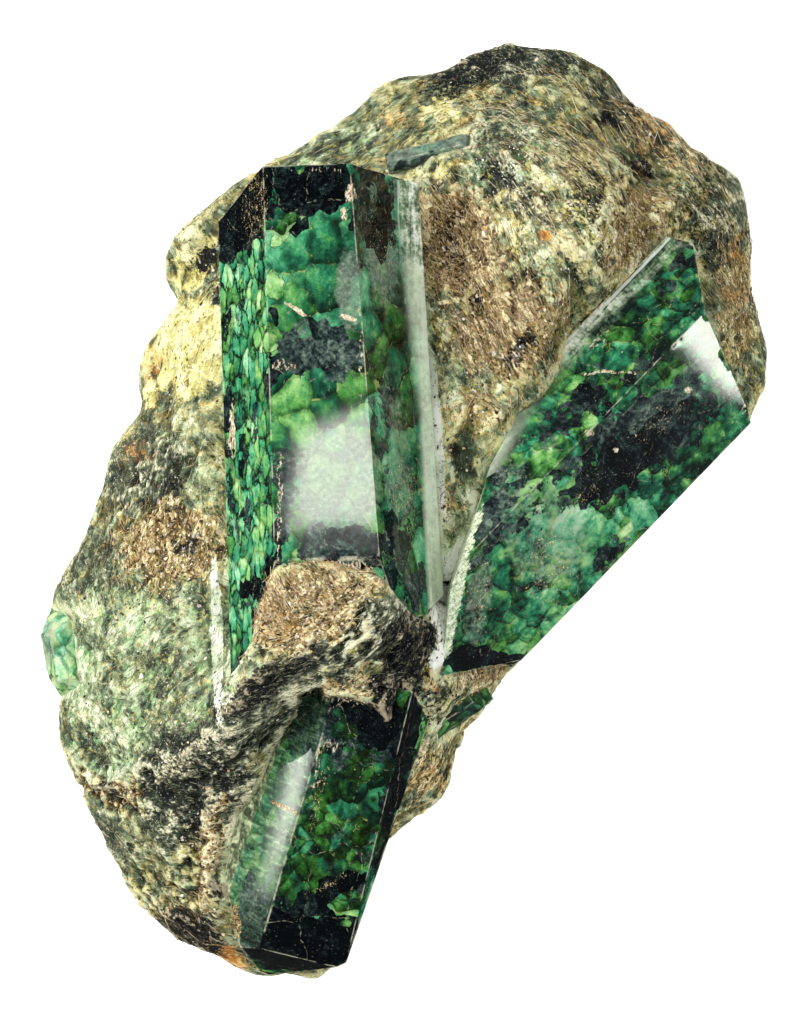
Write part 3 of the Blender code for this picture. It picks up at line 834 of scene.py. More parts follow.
# One joined mesh of thin closed plates, sunk a little into the rock.
def scatterFlakes(rockPiece, name, kind):
    mesh = rockPiece.data
    mesh.calc_loop_triangles()
    triangles = read(mesh.loop_triangles, "vertices", 3, np.int32)
    points, normals = readPoints(mesh), readNormals(mesh)
    a, b, c = (points[triangles[:, k]] for k in range(3))
    area = 0.5 * np.linalg.norm(np.cross(b - a, c - a), axis=1)
    reach, _ = nearestCrystal((a + b + c) / 3)
    growth = growthOf(mesh, kind["mineral"])[triangles].mean(axis=1)
    growth = growth * area * (reach > 0.1) * (0.04 + smooth(10, 28, a[:, 2]))
    count, corners = kind["count"], kind["corners"]
    chosen = chance.choice(len(triangles), count, p=growth / growth.sum())
    mix = chance.dirichlet((1, 1, 1), count)
    middle = np.einsum("nk,nkj->nj", mix, points[triangles[chosen]])
    normal = normals[triangles[chosen]].mean(axis=1)

    laid = np.zeros((count, 3))
    for laying, facts in layings.items():
        angle = math.radians(facts["angle"])
        share = readValues(mesh, laying)[triangles[chosen, 0]]
        laid += share[:, None] * np.array([math.cos(angle), math.sin(angle), 0])
    laid += chance.normal(scale=kind["stray"], size=(count, 3))
    up = normal + chance.normal(scale=kind["tilt"], size=(count, 3))
    up /= np.linalg.norm(up, axis=1)[:, None]
    forward = laid - dots(laid, up)[:, None] * up
    forward /= np.linalg.norm(forward, axis=1)[:, None]
    side = np.cross(up, forward)

    low, high = kind["length"]
    length = low + (high - low) * chance.random(count) ** 2
    narrow = chance.uniform(*kind["width"], count)
    width = narrow * length if kind["corners"] > 4 else narrow
    spin = chance.random(count) * (math.tau if kind["corners"] > 4 else 0)
    turns = np.arange(corners) + chance.uniform(-0.25, 0.25, (count, corners))
    angles = spin[:, None] + turns * math.tau / corners
    radius = chance.uniform(0.75, 1.0, (count, corners))
    outline = (middle[:, None] + forward[:, None] * (np.cos(angles) * radius * length[:, None] / 2)[..., None]
               + side[:, None] * (np.sin(angles) * radius * width[:, None] / 2)[..., None]
               + normal[:, None] * kind["lift"])
    half = up[:, None] * kind["thickness"] / 2
    vertices = np.concatenate([outline + half, outline - half], axis=1).reshape(-1, 3)
    vertices[:, 2] = np.maximum(vertices[:, 2], 0.2)

    top = list(range(corners))
    bottom = [2 * corners - 1 - k for k in range(corners)]
    walls = [(k, corners + k, corners + (k + 1) % corners, (k + 1) % corners) for k in range(corners)]
    shape = [top, bottom, *walls]
    starts = 2 * corners * np.arange(count)
    faces = [[int(start) + k for k in face] for start in starts for face in shape]
    flakeMesh = bpy.data.meshes.new(name)
    flakeMesh.from_pydata((vertices * mm).tolist(), [], faces)
    store(flakeMesh, "tone", np.repeat(chance.random(count), 2 * corners))
    piece = addObject(name, flakeMesh)
    flakeMesh.materials.append(micaFinish(kind["finish"], *micas[kind["finish"]]))
    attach(piece, "root")
    print(name + ":", count)
    return piece


making = {}                      # "tree": where the functions below put their nodes


# Clears the nodes of a material or world, which the next nodes are for.
def begin(target):
    target.use_nodes = True
    making["tree"] = target.node_tree
    making["tree"].nodes.clear()
    return target


# A node with its settings, whose inputs are values or other nodes' outputs.
def put(kind, inputs=None, **settings):
    tree = making["tree"]
    node = tree.nodes.new("ShaderNode" + kind)
    for key, value in settings.items():
        setattr(node, key, value)
    for key, value in (inputs or {}).items():
        if isinstance(value, bpy.types.NodeSocket):
            tree.links.new(value, node.inputs[key])
        elif isinstance(value, tuple) and len(value) == 3 and node.inputs[key].type == "RGBA":
            node.inputs[key].default_value = (*value, 1.0)
        else:
            node.inputs[key].default_value = value
    return node


def number(operation, a, b=0.0):
    return put("Math", {0: a, 1: b}, operation=operation).outputs[0]


def product(a, b):
    return number("MULTIPLY", a, b)


def plus(*parts):
    result = parts[0]
    for part in parts[1:]:
        result = number("ADD", result, part)
    return result


# How far a noise is from its middle, stretched.
def centred(value, amount):
    return product(number("SUBTRACT", value, 0.5), amount)


def vector(operation, a, b):
    return put("VectorMath", {0: a, 1: b}, operation=operation).outputs[0]


def stretched(place, factor):
    return put("VectorMath", {0: place, "Scale": factor}, operation="SCALE").outputs[0]


def blend(factor, a, b, kind="MIX"):
    return put("Mix", {0: factor, 6: a, 7: b}, data_type="RGBA", blend_type=kind).outputs[2]


# Runs smoothly from bottom to top as value runs from low to high.
def step(value, low, high, bottom=0.0, top=1.0):
    return put("MapRange", {"Value": value, "From Min": low, "From Max": high, "To Min": bottom,
                            "To Max": top}, interpolation_type="SMOOTHSTEP").outputs[0]


def ramp(value, stops):
    node = put("ValToRGB", {"Fac": value})
    elements = node.color_ramp.elements
    while len(elements) < len(stops):
        elements.new(0.5)
    for element, (place, colour) in zip(elements, stops):
        element.position = place
        element.color = (*colour, 1.0)
    return node.outputs[0]


def cloud(place, scale, detail=3.0, roughness=0.55, distortion=0.0):
    return put("TexNoise", {"Vector": place, "Scale": scale, "Detail": detail, "Roughness": roughness,
                            "Distortion": distortion}).outputs[0]


# Irregular cells, each with its own colour and seed point.
def cells(place, scale=1.0, randomness=1.0, **settings):
    return put("TexVoronoi", {"Vector": place, "Scale": scale, "Randomness": randomness}, **settings).outputs


def redOf(colour):
    return put("SeparateColor", {"Color": colour}).outputs[0]


# A vector shaken by noise, so that what is laid over it loses its straight lines.
def shaken(place, scale, amount):
    noise = put("TexNoise", {"Vector": place, "Scale": scale, "Detail": 2.0}).outputs[1]
    return vector("ADD", place, stretched(vector("SUBTRACT", noise, (0.5, 0.5, 0.5)), amount))


def stored(name):
    return put("Attribute", attribute_name=name).outputs["Fac"]


# The place of each point, in millimetres.
def millimetres():
    return stretched(put("TexCoord").outputs["Object"], 1 / mm)


# The shader, with a bump of the given height in millimetres.
def finish(inputs, height=None, depth=0.0, strength=1.0):
    shader = put("BsdfPrincipled", inputs)
    if height is not None:
        bump = put("Bump", {"Height": height, "Distance": depth * mm, "Strength": strength})
        making["tree"].links.new(bump.outputs[0], shader.inputs["Normal"])
    put("OutputMaterial", {"Surface": shader.outputs[0]})


# Each mineral of the schist, from its shade to its light.
schistColours = {
    "olive": [(0.10, (0.010, 0.012, 0.004)), (0.35, (0.050, 0.054, 0.018)), (0.50, (0.135, 0.135, 0.044)),
              (0.65, (0.31, 0.295, 0.108)), (0.85, (0.70, 0.66, 0.336))],
    "teal": [(0.10, (0.007, 0.012, 0.008)), (0.35, (0.034, 0.054, 0.032)), (0.50, (0.092, 0.135, 0.077)),
             (0.65, (0.22, 0.29, 0.168)), (0.85, (0.58, 0.66, 0.420))],
    "ochre": [(0.10, (0.030, 0.015, 0.003)), (0.35, (0.14, 0.076, 0.012)), (0.50, (0.33, 0.195, 0.032)),
              (0.65, (0.62, 0.41, 0.093)), (0.85, (0.90, 0.74, 0.323))],
    "gold": [(0.10, (0.009, 0.006, 0.002)), (0.35, (0.060, 0.042, 0.011)), (0.50, (0.190, 0.138, 0.040)),
             (0.65, (0.46, 0.36, 0.129)), (0.85, (0.96, 0.86, 0.515))],
    "slate": [(0.20, (0.006, 0.009, 0.007)), (0.46, (0.030, 0.041, 0.027)), (0.57, (0.095, 0.115, 0.070)),
              (0.66, (0.30, 0.32, 0.20)), (0.78, (0.80, 0.79, 0.55))],
    "cream": [(0.10, (0.10, 0.080, 0.015)), (0.35, (0.42, 0.365, 0.094)), (0.50, (0.68, 0.62, 0.221)),
              (0.65, (0.86, 0.81, 0.394)), (0.85, (0.97, 0.95, 0.640))],
    "sage": [(0.10, (0.020, 0.036, 0.015)), (0.35, (0.10, 0.155, 0.070)), (0.50, (0.24, 0.330, 0.165)),
             (0.65, (0.45, 0.55, 0.31)), (0.85, (0.82, 0.88, 0.66))],
    "mint": [(0.10, (0.022, 0.06, 0.022)), (0.35, (0.11, 0.25, 0.09)), (0.50, (0.27, 0.47, 0.21)),
             (0.65, (0.50, 0.70, 0.38)), (0.85, (0.82, 0.95, 0.70))],
    "talc": [(0.10, (0.10, 0.13, 0.07)), (0.35, (0.36, 0.46, 0.28)), (0.50, (0.70, 0.80, 0.56)),
             (0.65, (0.90, 0.96, 0.76)), (0.85, (0.98, 1.0, 0.92))],
    "black": [(0.45, (0.002, 0.003, 0.003)), (0.70, (0.009, 0.010, 0.009)), (0.80, (0.05, 0.043, 0.028)),
              (0.92, (0.42, 0.36, 0.24))],
    "rust": [(0.10, (0.07, 0.02, 0.002)), (0.40, (0.34, 0.12, 0.012)), (0.60, (0.68, 0.30, 0.045)),
             (0.85, (0.92, 0.66, 0.28))],
}


# The schist's noises: where they are sampled, their scale, detail, roughness and distortion.
schistNoises = {
    "speckle": ("place", 2.2, 5.0, 0.72),
    "mottle": ("bent", 0.75, 6.0, 0.68, 0.5),
    "blotch": ("place", 0.33, 6.0, 0.68, 0.6),
    "broad": (73, 0.22, 6.0, 0.66, 0.5),
    "spots": (31, 0.55, 6.0, 0.7, 0.8),
    "pale": (57, 0.7, 6.0, 0.72, 0.8),
    "crack": ("bent", 0.45, 4.0, 0.6),
    "paintedGlint": ("place", 4.5, 2.0, 0.6),
}
grainStretch, chipStretch, bandStretch = (0.26, 3.2, 2.4), (0.55, 1.5, 1.2), (0.07, 0.07, 0.5)


# A place measured along and across the mica, which lies at this angle.
def laid(place, factors, angle=0.0):
    turned = put("Mapping", {"Vector": place, "Rotation": (0.0, 0.0, math.radians(-angle))}).outputs[0]
    return vector("MULTIPLY", turned, factors)


# Where a mineral shows: its patches, broken up by noise.
def mineralShare(name, noise, softness=0.1, reach=1.7):
    return step(plus(stored(name), centred(noise, reach)), 0.5 - softness, 0.5 + softness)


def schistFinish():
    material = begin(bpy.data.materials.new("rough mica schist"))
    place = millimetres()
    bent = shaken(place, 0.5, 1.4)
    waved = shaken(shaken(place, 0.10, 4.0), 0.35, 0.7)

    def noise(where, *settings):
        places = {"place": place, "bent": bent}
        return cloud(places.get(where) or vector("ADD", place, (where, where, where)), *settings)

    speckle, mottle, blotch, broad, spots, pale, crack, paintedGlint = (
        noise(*settings) for settings in schistNoises.values())
    fibre, chips = 0.0, 0.0                              # mica grain, laid as each part of the rock lies
    for name, laying in layings.items():
        grain = cloud(laid(waved, grainStretch, laying["angle"]), 1.0, 5.0, 0.7)
        fibre = plus(fibre, product(grain, stored(name)))
        plate = redOf(cells(laid(waved, chipStretch, laying["angle"]))["Color"])
        chips = plus(chips, product(plate, stored(name)))
    banded = cloud(laid(waved, bandStretch), 1.0, 5.0, 0.65)
    crest, swell = stored("crest"), stored("swell")

    # How light each part is, with painted light on crests and folds and painted shade in hollows and troughs:
    # evenly toned, with fine contrast, or with fibres.
    lit = plus(0.545, centred(stored("fold"), 0.3), centred(swell, 0.5),
               product(stored("flank"), centred(banded, 1.1)))
    even = plus(lit, centred(broad, 1.1), centred(blotch, 0.8), centred(mottle, 0.45), centred(fibre, 0.55),
                centred(chips, 0.38), centred(crest, 0.35))
    crisp = step(stored("rough"), 0.0, 0.8, 0.6, 1.0)
    fine = plus(centred(fibre, 1.2), centred(chips, 0.34), centred(speckle, 0.5), centred(mottle, 0.6),
                centred(crest, 0.5))
    shade = plus(lit, product(fine, crisp), centred(mottle, 0.45), centred(blotch, 1.0), centred(broad, 0.6),
                 centred(crest, 0.1), product(stored("talc"), 0.10))
    fibrous = plus(centred(fibre, 1.9), centred(mottle, 0.7), centred(speckle, 0.4), centred(crest, 0.6))
    fibrous = plus(lit, product(fibrous, crisp), centred(blotch, 0.8), centred(mottle, 0.3))
    shades = {"sage": even, "mint": even, "teal": even, "slate": plus(fibrous, -0.06), "gold": fibrous}
    tint = {name: ramp(shades.get(name, shade), stops) for name, stops in schistColours.items()}

    colour = blend(step(blotch, 0.46, 0.54, 0.95, 0.0), tint["olive"], tint["teal"])
    colour = blend(step(spots, 0.55, 0.63, 0.0, 0.8), colour, tint["ochre"])
    colour = blend(step(pale, 0.57, 0.65, 0.0, 0.7), colour, tint["cream"])
    minty = redOf(cells(bent, 0.55)["Color"])
    minty = plus(product(minty, 0.8), 0.1, centred(mottle, 1.6), centred(broad, 1.0))
    green = blend(step(broad, 0.45, 0.55), tint["teal"], tint["sage"])
    green = blend(step(minty, 0.66, 0.78, 0.0, 0.85), green, tint["mint"])
    green = blend(step(pale, 0.54, 0.60, 0.0, 0.65), green, tint["cream"])
    green = blend(step(spots, 0.38, 0.44, 0.7, 0.0), green, tint["olive"])
    goldShare = mineralShare("gold", mottle, 0.1, 2.2)
    for share, look in (
            (mineralShare("sage", blotch, 0.14), green),
            (mineralShare("slate", mottle, 0.14), tint["slate"]),
            (goldShare, tint["gold"]),
            (mineralShare("cream", blotch, 0.12, 2.2), tint["cream"]),
            (mineralShare("talc", fibre, 0.15, 1.4), tint["talc"]),
            (mineralShare("rust", mottle, 0.3, 2.0), tint["rust"]),
            (mineralShare("black", speckle, 0.08, 2.6), tint["black"])):
        colour = blend(share, colour, look)

    holes = plus(product(speckle, 0.6), product(mottle, 0.4), product(goldShare, -0.02))
    colour = blend(step(holes, 0.40, 0.435, 0.85, 0.0), colour, tint["black"])
    crackWidth = number("ABSOLUTE", centred(crack, 1.0))
    crack = product(step(crackWidth, 0.0, 0.012, 0.75, 0.0), step(spots, 0.46, 0.54))
    colour = blend(crack, colour, (0.010, 0.011, 0.008))
    # Painted shade: the colour is multiplied darker in the hollows that crest and swell find.
    colour = blend(step(crest, 0.10, 0.44, 0.6, 0.0), colour, (0.10, 0.085, 0.04), "MULTIPLY")
    colour = blend(step(swell, 0.08, 0.38, 0.75, 0.0), colour, (0.17, 0.15, 0.08), "MULTIPLY")
    # Painted glints: small pale specks standing in for mica catching the light.
    colour = blend(step(paintedGlint, 0.67, 0.71, 0.0, 0.8), colour, (0.85, 0.83, 0.72))

    roughness = step(speckle, 0.38, 0.66, 0.8, 0.4)
    height = plus(fibre, product(speckle, 0.8), product(mottle, 0.7))
    finish({"Base Color": colour, "Roughness": roughness, "IOR": 1.5, "Specular IOR Level": 0.25},
           height, 0.20)
    return material


def micaFinish(name, roughness, level, stops):
    material = begin(bpy.data.materials.new(name))
    grain = cloud(millimetres(), 3.0, 3.0)
    tone = plus(product(stored("tone"), 0.75), product(grain, 0.25))
    finish({"Base Color": ramp(tone, stops), "Roughness": roughness, "IOR": 1.58,
            "Specular IOR Level": level}, grain, 0.04, 0.5)
    return material


micas = {                        # roughness, gloss, and colours from shade to light
    "gold mica": (0.35, 0.8, [
        (0.15, (0.06, 0.030, 0.010)), (0.4, (0.30, 0.18, 0.06)), (0.65, (0.62, 0.44, 0.20)),
        (0.9, (0.95, 0.84, 0.60))]),
    "pale talc": (0.45, 0.6, [
        (0.1, (0.3, 0.28, 0.16)), (0.5, (0.62, 0.57, 0.4)), (0.9, (0.88, 0.84, 0.7))]),
    "dark mica": (0.3, 0.8, [
        (0.2, (0.004, 0.005, 0.005)), (0.7, (0.025, 0.024, 0.016)), (0.92, (0.12, 0.09, 0.05))]),
    "green mica": (0.45, 0.5, [
        (0.1, (0.04, 0.05, 0.025)), (0.5, (0.18, 0.2, 0.11)), (0.9, (0.5, 0.52, 0.36))]),
}


# What shows inside each crystal: column, row, half width, half height, turn and amount.
insides = {
    "central_crystal": {
        "light": 0.475, "seams": 1.0, "warm": 0.20, "smear": 0.8, "mixed": 0.0, "gloss": 0.20,
        "grain": (4.3, 5.4, 4.3), "sideGrain": (1.5, 2.8, 1.5),
        "black": {
            "cap": (312, 190, 52, 30, 0, 1.0),
            "cap notch": (300, 226, 12, 10, 0, 0.8),
            "flank top": (374, 205, 22, 60, -4, 0.8),
            "left face top": (240, 204, 36, 50, 8, 1.3),
            "left face patch": (228, 425, 7, 44, 0, 0.8),
            "left face edge": (223, 330, 5, 30, 0, 0.7),
            "left face low": (252, 589, 12, 12, 0, 1.0),
            "left face corner": (268, 590, 8, 60, 12, 0.9),
            "oval's shade": (271, 312, 6, 12, 0, 0.95),
            "edge marks": (271, 375, 5, 30, 0, 0.85),
            "flank low": (392, 550, 18, 50, -6, 0.7),
            "front foot": (330, 562, 50, 7, 0, 0.7),
            "left gaps": (242, 300, 22, 60, 6, 0.22),
            "left gaps low": (246, 480, 22, 90, 6, 0.36),
        },
        "navy": {
            "middle": (318, 352, 50, 32, 0, 0.95),
            "edge strip": (284, 500, 10, 62, 0, 0.75),
            "front foot": (328, 545, 48, 18, 0, 0.9),
            "flank foot": (410, 585, 12, 34, 0, 0.7),
            "foot": (232, 690, 12, 50, 6, 0.6),
            "flank": (388, 430, 14, 50, -4, 0.5),
        },
        "deep": {
            "front": (330, 250, 30, 20, 0, 0.2),
            "front low": (340, 396, 24, 18, 0, 0.5),
            "flank": (392, 390, 24, 150, -4, 0.25),
        },
        "bright": {
            "left face": (246, 330, 26, 110, 0, 0.42),
            "left face lower": (245, 500, 24, 150, 0, 0.34),
            "front": (296, 286, 26, 30, 0, 0.25),
            "domes": (288, 398, 18, 20, 0, 0.6),
            # Painted reflection: lighter grains where the front window's reflection shows.
            "glow": (330, 480, 42, 60, 0, 0.25),
        },
        "oval": {
            "high": (275, 286, 10, 16, -6, 1.0),
            "low": (267, 337, 15, 14, 0, 1.0),
            "branch": (283, 230, 7, 20, 34, 1.0),
            "flank": (381, 294, 7, 13, 0, 1.0),
        },
        "milk": {
            "haze": (349, 292, 14, 44, 0, 0.9),
            # Painted reflection: a pale veil where the front window shows on the front face.
            "veil": (338, 482, 42, 56, 0, 1.2),
            "flank haze": (380, 235, 18, 70, -4, 1.0),
            "flank low haze": (398, 470, 16, 90, -4, 0.6),
        },
        "cream": {
            "cap flecks": (350, 193, 8, 11, 0, 0.9),
            "cap flecks low": (343, 214, 5, 9, 0, 0.9),
            "cap rim": (318, 170, 30, 4, 0, 0.5),
            "arc": (296, 310, 15, 3, 32, 1.2),
            "fleck": (348, 318, 9, 3, 8, 1.2),
            "pink flecks": (284, 366, 15, 6, 0, 0.7),
            "left edge": (279, 505, 3, 62, 1, 0.7),
            "right edge": (361, 350, 3, 60, 0, 0.55),
            "left streak": (232, 430, 4, 30, 0, 0.9),
            "foot flecks": (330, 566, 54, 5, 0, 0.8),
        },
        "brown": {
            "left face top": (256, 206, 18, 40, 0, 0.36),
            "flank veins": (385, 250, 20, 30, 30, 0.25),
            "flank low": (402, 492, 16, 30, 0, 0.40),
        },
        "clear rim": {"top": (400, 232, 18, 60, 0, 1.0)},
        "pale rim": {"low": (420, 400, 24, 150, -4, 1.0), "foot": (430, 540, 24, 90, -4, 0.8)},
    },
    "right_crystal": {
        "light": 0.44, "seams": 0.45, "warm": 0.17, "smear": 1.4, "mixed": 1.0, "gloss": 0.42,
        "grain": (3.4, 3.8, 3.4), "sideGrain": (1.6, 2.3, 1.6),
        "black": {
            "middle": (625, 462, 70, 26, -32, 1.1),
            "dark patch": (592, 398, 20, 18, 0, 0.85),
            "foot": (486, 662, 44, 12, 0, 1.0),
            "tip": (694, 248, 20, 24, 0, 0.8),
            "beside the ridge": (690, 415, 40, 16, -30, 0.6),
            "edge": (540, 500, 10, 40, 30, 0.5),
            "upper gaps": (640, 372, 40, 10, -40, 0.5),
            "lower gaps": (610, 560, 40, 12, -40, 0.5),
        },
        "navy": {
            "left side": (494, 520, 16, 56, 20, 0.8),
            "middle": (640, 438, 84, 34, -32, 1.0),
            "upper side": (566, 410, 20, 50, 40, 0.6),
            "tip": (672, 282, 16, 30, 30, 0.5),
            "corner": (700, 380, 30, 24, 0, 0.6),
        },
        "deep": {
            "upper face": (640, 330, 70, 60, -45, 0.65),
            "right": (690, 450, 60, 50, -32, 0.5),
            "left": (490, 600, 40, 60, 20, 0.4),
        },
        "bright": {
            "teal": (632, 512, 44, 24, -36, 0.6),
            "teal foot": (566, 612, 30, 22, -36, 0.7),
            "stripes": (556, 520, 50, 50, -30, 0.5),
            "left": (520, 480, 16, 24, 30, 0.35),
        },
        "milk": {
            "left foot": (478, 602, 14, 52, 8, 0.6),
            "haze": (548, 535, 50, 60, -30, 0.55),
            "left side": (505, 500, 18, 50, 24, 0.6),
        },
        "cream": {
            "fleck one": (590, 433, 6, 4, 0, 1.0),
            "fleck two": (615, 450, 4, 3, 0, 1.0),
            "fleck three": (690, 388, 5, 4, 0, 1.0),
            "vein": (610, 372, 32, 2, 2, 0.8),
            "upper specks": (600, 340, 20, 8, -40, 0.5),
            "edge": (745, 405, 5, 14, 0, 0.7),
        },
        "brown": {
            "stain": (548, 570, 26, 44, 0, 0.36),
            "red foot": (480, 590, 16, 40, 0, 0.34),
            "vein": (580, 500, 30, 6, -45, 0.34),
            "middle": (655, 420, 44, 16, -30, 0.28),
        },
        "clear rim": {"tip": (640, 288, 24, 80, 42, 1.0)},
        "pale rim": {"side": (508, 430, 24, 100, 32, 1.0), "foot": (470, 540, 26, 60, 12, 1.2)},
        "talc": {"side": (450, 618, 8, 62, 14, 1.0), "side top": (464, 548, 7, 46, 22, 1.0)},
    },
    "lower_crystal": {
        "light": 0.42, "seams": 1.0, "warm": 0.30, "smear": 1.0, "mixed": 1.0, "gloss": 0.26,
        "grain": (3.0, 3.0, 3.0), "sideGrain": (1.6, 1.7, 1.6),
        "black": {
            "foot": (300, 950, 74, 46, 0, 1.25),
            "band": (342, 884, 48, 12, -28, 1.1),
            "top": (384, 726, 24, 26, 0, 1.2),
            "top edge": (350, 706, 40, 12, 6, 1.0),
            "blade top": (303, 725, 12, 30, 10, 0.75),
            "right": (404, 760, 12, 110, 12, 1.1),
        },
        "navy": {
            "blade top": (312, 722, 20, 40, 10, 1.0),
            "blade tip": (254, 915, 18, 36, 10, 1.1),
            "top": (345, 755, 30, 12, 0, 0.6),
        },
        "deep": {
            "front": (345, 790, 60, 110, 0, 0.9),
            "low": (290, 860, 24, 36, 10, 0.3),
        },
        "bright": {
            "domes": (328, 826, 32, 30, 0, 0.45),
            "patch": (334, 918, 18, 22, 0, 0.75),
            "blade": (293, 790, 16, 46, 14, 0.6),
            "blade low": (262, 850, 18, 50, 12, 0.35),
            "flank": (236, 835, 14, 54, 8, 0.8),
        },
        "milk": {
            "flank": (234, 840, 14, 60, 8, 0.5),
            # Painted highlight: haze that brightens the blade where the blade window shows.
            "blade glow": (292, 800, 12, 60, 13, 0.6),
        },
        "cream": {
            "edge": (318, 765, 3, 34, 12, 0.7),
            "flecks": (330, 745, 10, 8, 0, 0.6),
            "top flecks": (350, 700, 30, 8, 0, 0.5),
        },
        "brown": {
            "line": (284, 808, 17, 3, 16, 0.9),
            "tip": (237, 925, 4, 24, 0, 0.9),
            "between": (318, 800, 6, 40, 12, 0.4),
            "foot": (330, 884, 30, 4, -28, 0.4),
        },
    },
    "top_prism": {
        "light": 0.44, "seams": 0.6, "warm": 0.2, "smear": 1.2, "mixed": 0.0, "gloss": 0.4,
        "grain": (3.0, 4.0, 3.0), "sideGrain": (3.0, 4.0, 3.0),
        "deep": {"all": (430, 152, 60, 20, -15, 0.3)},
        "navy": {"low": (424, 160, 50, 6, -15, 0.7)},
        "milk": {"all": (432, 148, 56, 16, -15, 1.0)},
    },
    "edge_beryl": {
        "light": 0.44, "seams": 0.9, "warm": 0.3, "smear": 1.2, "mixed": 0.0, "gloss": 0.4,
        "grain": (2.0, 2.6, 2.0), "sideGrain": (2.0, 2.6, 2.0),
        "bright": {"all": (56, 655, 40, 70, 0, 1.4)},
        "milk": {"streak": (48, 645, 8, 26, 0, 0.8)},
    },
    "notch_beryl": {
        "light": 0.44, "seams": 0.4, "warm": 0.3, "smear": 0.8, "mixed": 0.0, "gloss": 0.4,
        "grain": (2.0, 2.6, 2.0), "sideGrain": (2.0, 2.6, 2.0),
        "deep": {"all": (456, 706, 30, 22, 0, 0.9)},
        "cream": {"spot": (458, 695, 4, 3, 0, 1.0)},
        "brown": {"spot": (458, 702, 6, 3, 0, 0.8)},
    },
}
polish = {
    "spacing": 0.36,
    "waveSize": 9.0, "waveDepth": 0.005,
    "chipSize": 1.7, "chipDepth": 0.16, "chipReach": 0.5,
    "roughDepth": 0.34,          # on natural, unpolished crystals
}
crystalSlots = {
    "central_crystal": "polished_emerald", "right_crystal": "polished_emerald",
    "lower_crystal": "polished_emerald", "top_prism": "dark_beryl", "edge_beryl": "pale_beryl",
    "notch_beryl": "dark_beryl",
}


# The point at that height which shows at a column and row.
def seenPoint(column, row, height):
    scale = view["pixelSize"] * (view["eyeHeight"] - height) / (view["eyeHeight"] - view["seenHeight"])
    x, y = (column - view["frameMiddle"][0]) * scale, (view["frameMiddle"][1] - row) * scale
    return np.stack(np.broadcast_arrays(x, y, height), axis=-1)


# The crystal's own coordinates of the point that shows at a column and row.
def surfacePoint(crystal, column, row):
    ray = toLocal(crystal, seenPoint(column, row, np.linspace(60, 0, 601)))
    distance = crystalDistance(crystal, ray)[0]
    inside = np.nonzero(distance <= 0.02)[0]
    return ray[inside[0] if len(inside) else distance.argmin()]


# How far off a patch's middle a place is, where 1 is the patch's rim.
def patchDistance(where, crystal, column, row, halfWide, halfHigh, turn):
    middle = surfacePoint(crystal, column, row)
    size = view["pixelSize"] * (view["eyeHeight"] - toWorld(crystal, middle)[2]) / view["eyeHeight"]
    a = math.radians(turn)
    across = np.array([math.cos(a), -math.sin(a), 0]) @ turnOf(crystal)
    placed = put("Mapping", {
        "Vector": where, "Location": tuple(middle), "Rotation": (0, 0, math.atan2(across[1], across[0])),
        "Scale": (halfWide * size, halfHigh * size, 1000)}, vector_type="TEXTURE").outputs[0]
    return put("VectorMath", {0: placed}, operation="LENGTH").outputs["Value"]


def finishCrystal(node):
    piece, crystal, local = makeCrystal(node, polish["spacing"])
    mesh = piece.data
    distance, direction, nextDistance, nextDirection = crystalDistance(crystal, local)
    polished = crystalSlots[node] == "polished_emerald"
    sharp = dots(direction, nextDirection) < 0.97
    edge = (1 - smooth(0.0, polish["chipReach"], -nextDistance)) * sharp
    nicks = smooth(0.2, 0.7, waves(local / polish["chipSize"], 81)) * smooth(-0.1, 0.5, waves(local / 5, 83))
    shift = polish["waveDepth"] * waves(local / polish["waveSize"], 85) - polish["chipDepth"] * edge * nicks
    if not polished:
        shift = polish["roughDepth"] * layers(local / 1.8, 3, 87) - 0.12 * edge
    local = local + direction * shift[:, None]
    writePoints(mesh, toWorld(crystal, local))
    leftward = -direction[:, 0]
    broken = smooth(0.71, 0.78, leftward) * (node == "lower_crystal")
    first = next(iter(crystal["blocks"].values()))
    for name, values in {
            "local": local, "edge": edge, "broken": broken,
            "scales": smooth(0.5, 0.8, leftward),
            "blade": smooth(0.3, 0.6, leftward) * (1 - broken) * (node == "lower_crystal"),
            "rim": smooth(0.02, 0.9, blockDistance(first, local)[0])}.items():
        store(mesh, name, values)
    mesh.shade_smooth()
    mesh.set_sharp_from_angle(angle=math.radians(18))
    mesh.materials.append(berylFinish(node, polished))
    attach(piece, "root")
    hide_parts(node)
    print(piece.name + ":", len(mesh.polygons), "faces")
    return piece


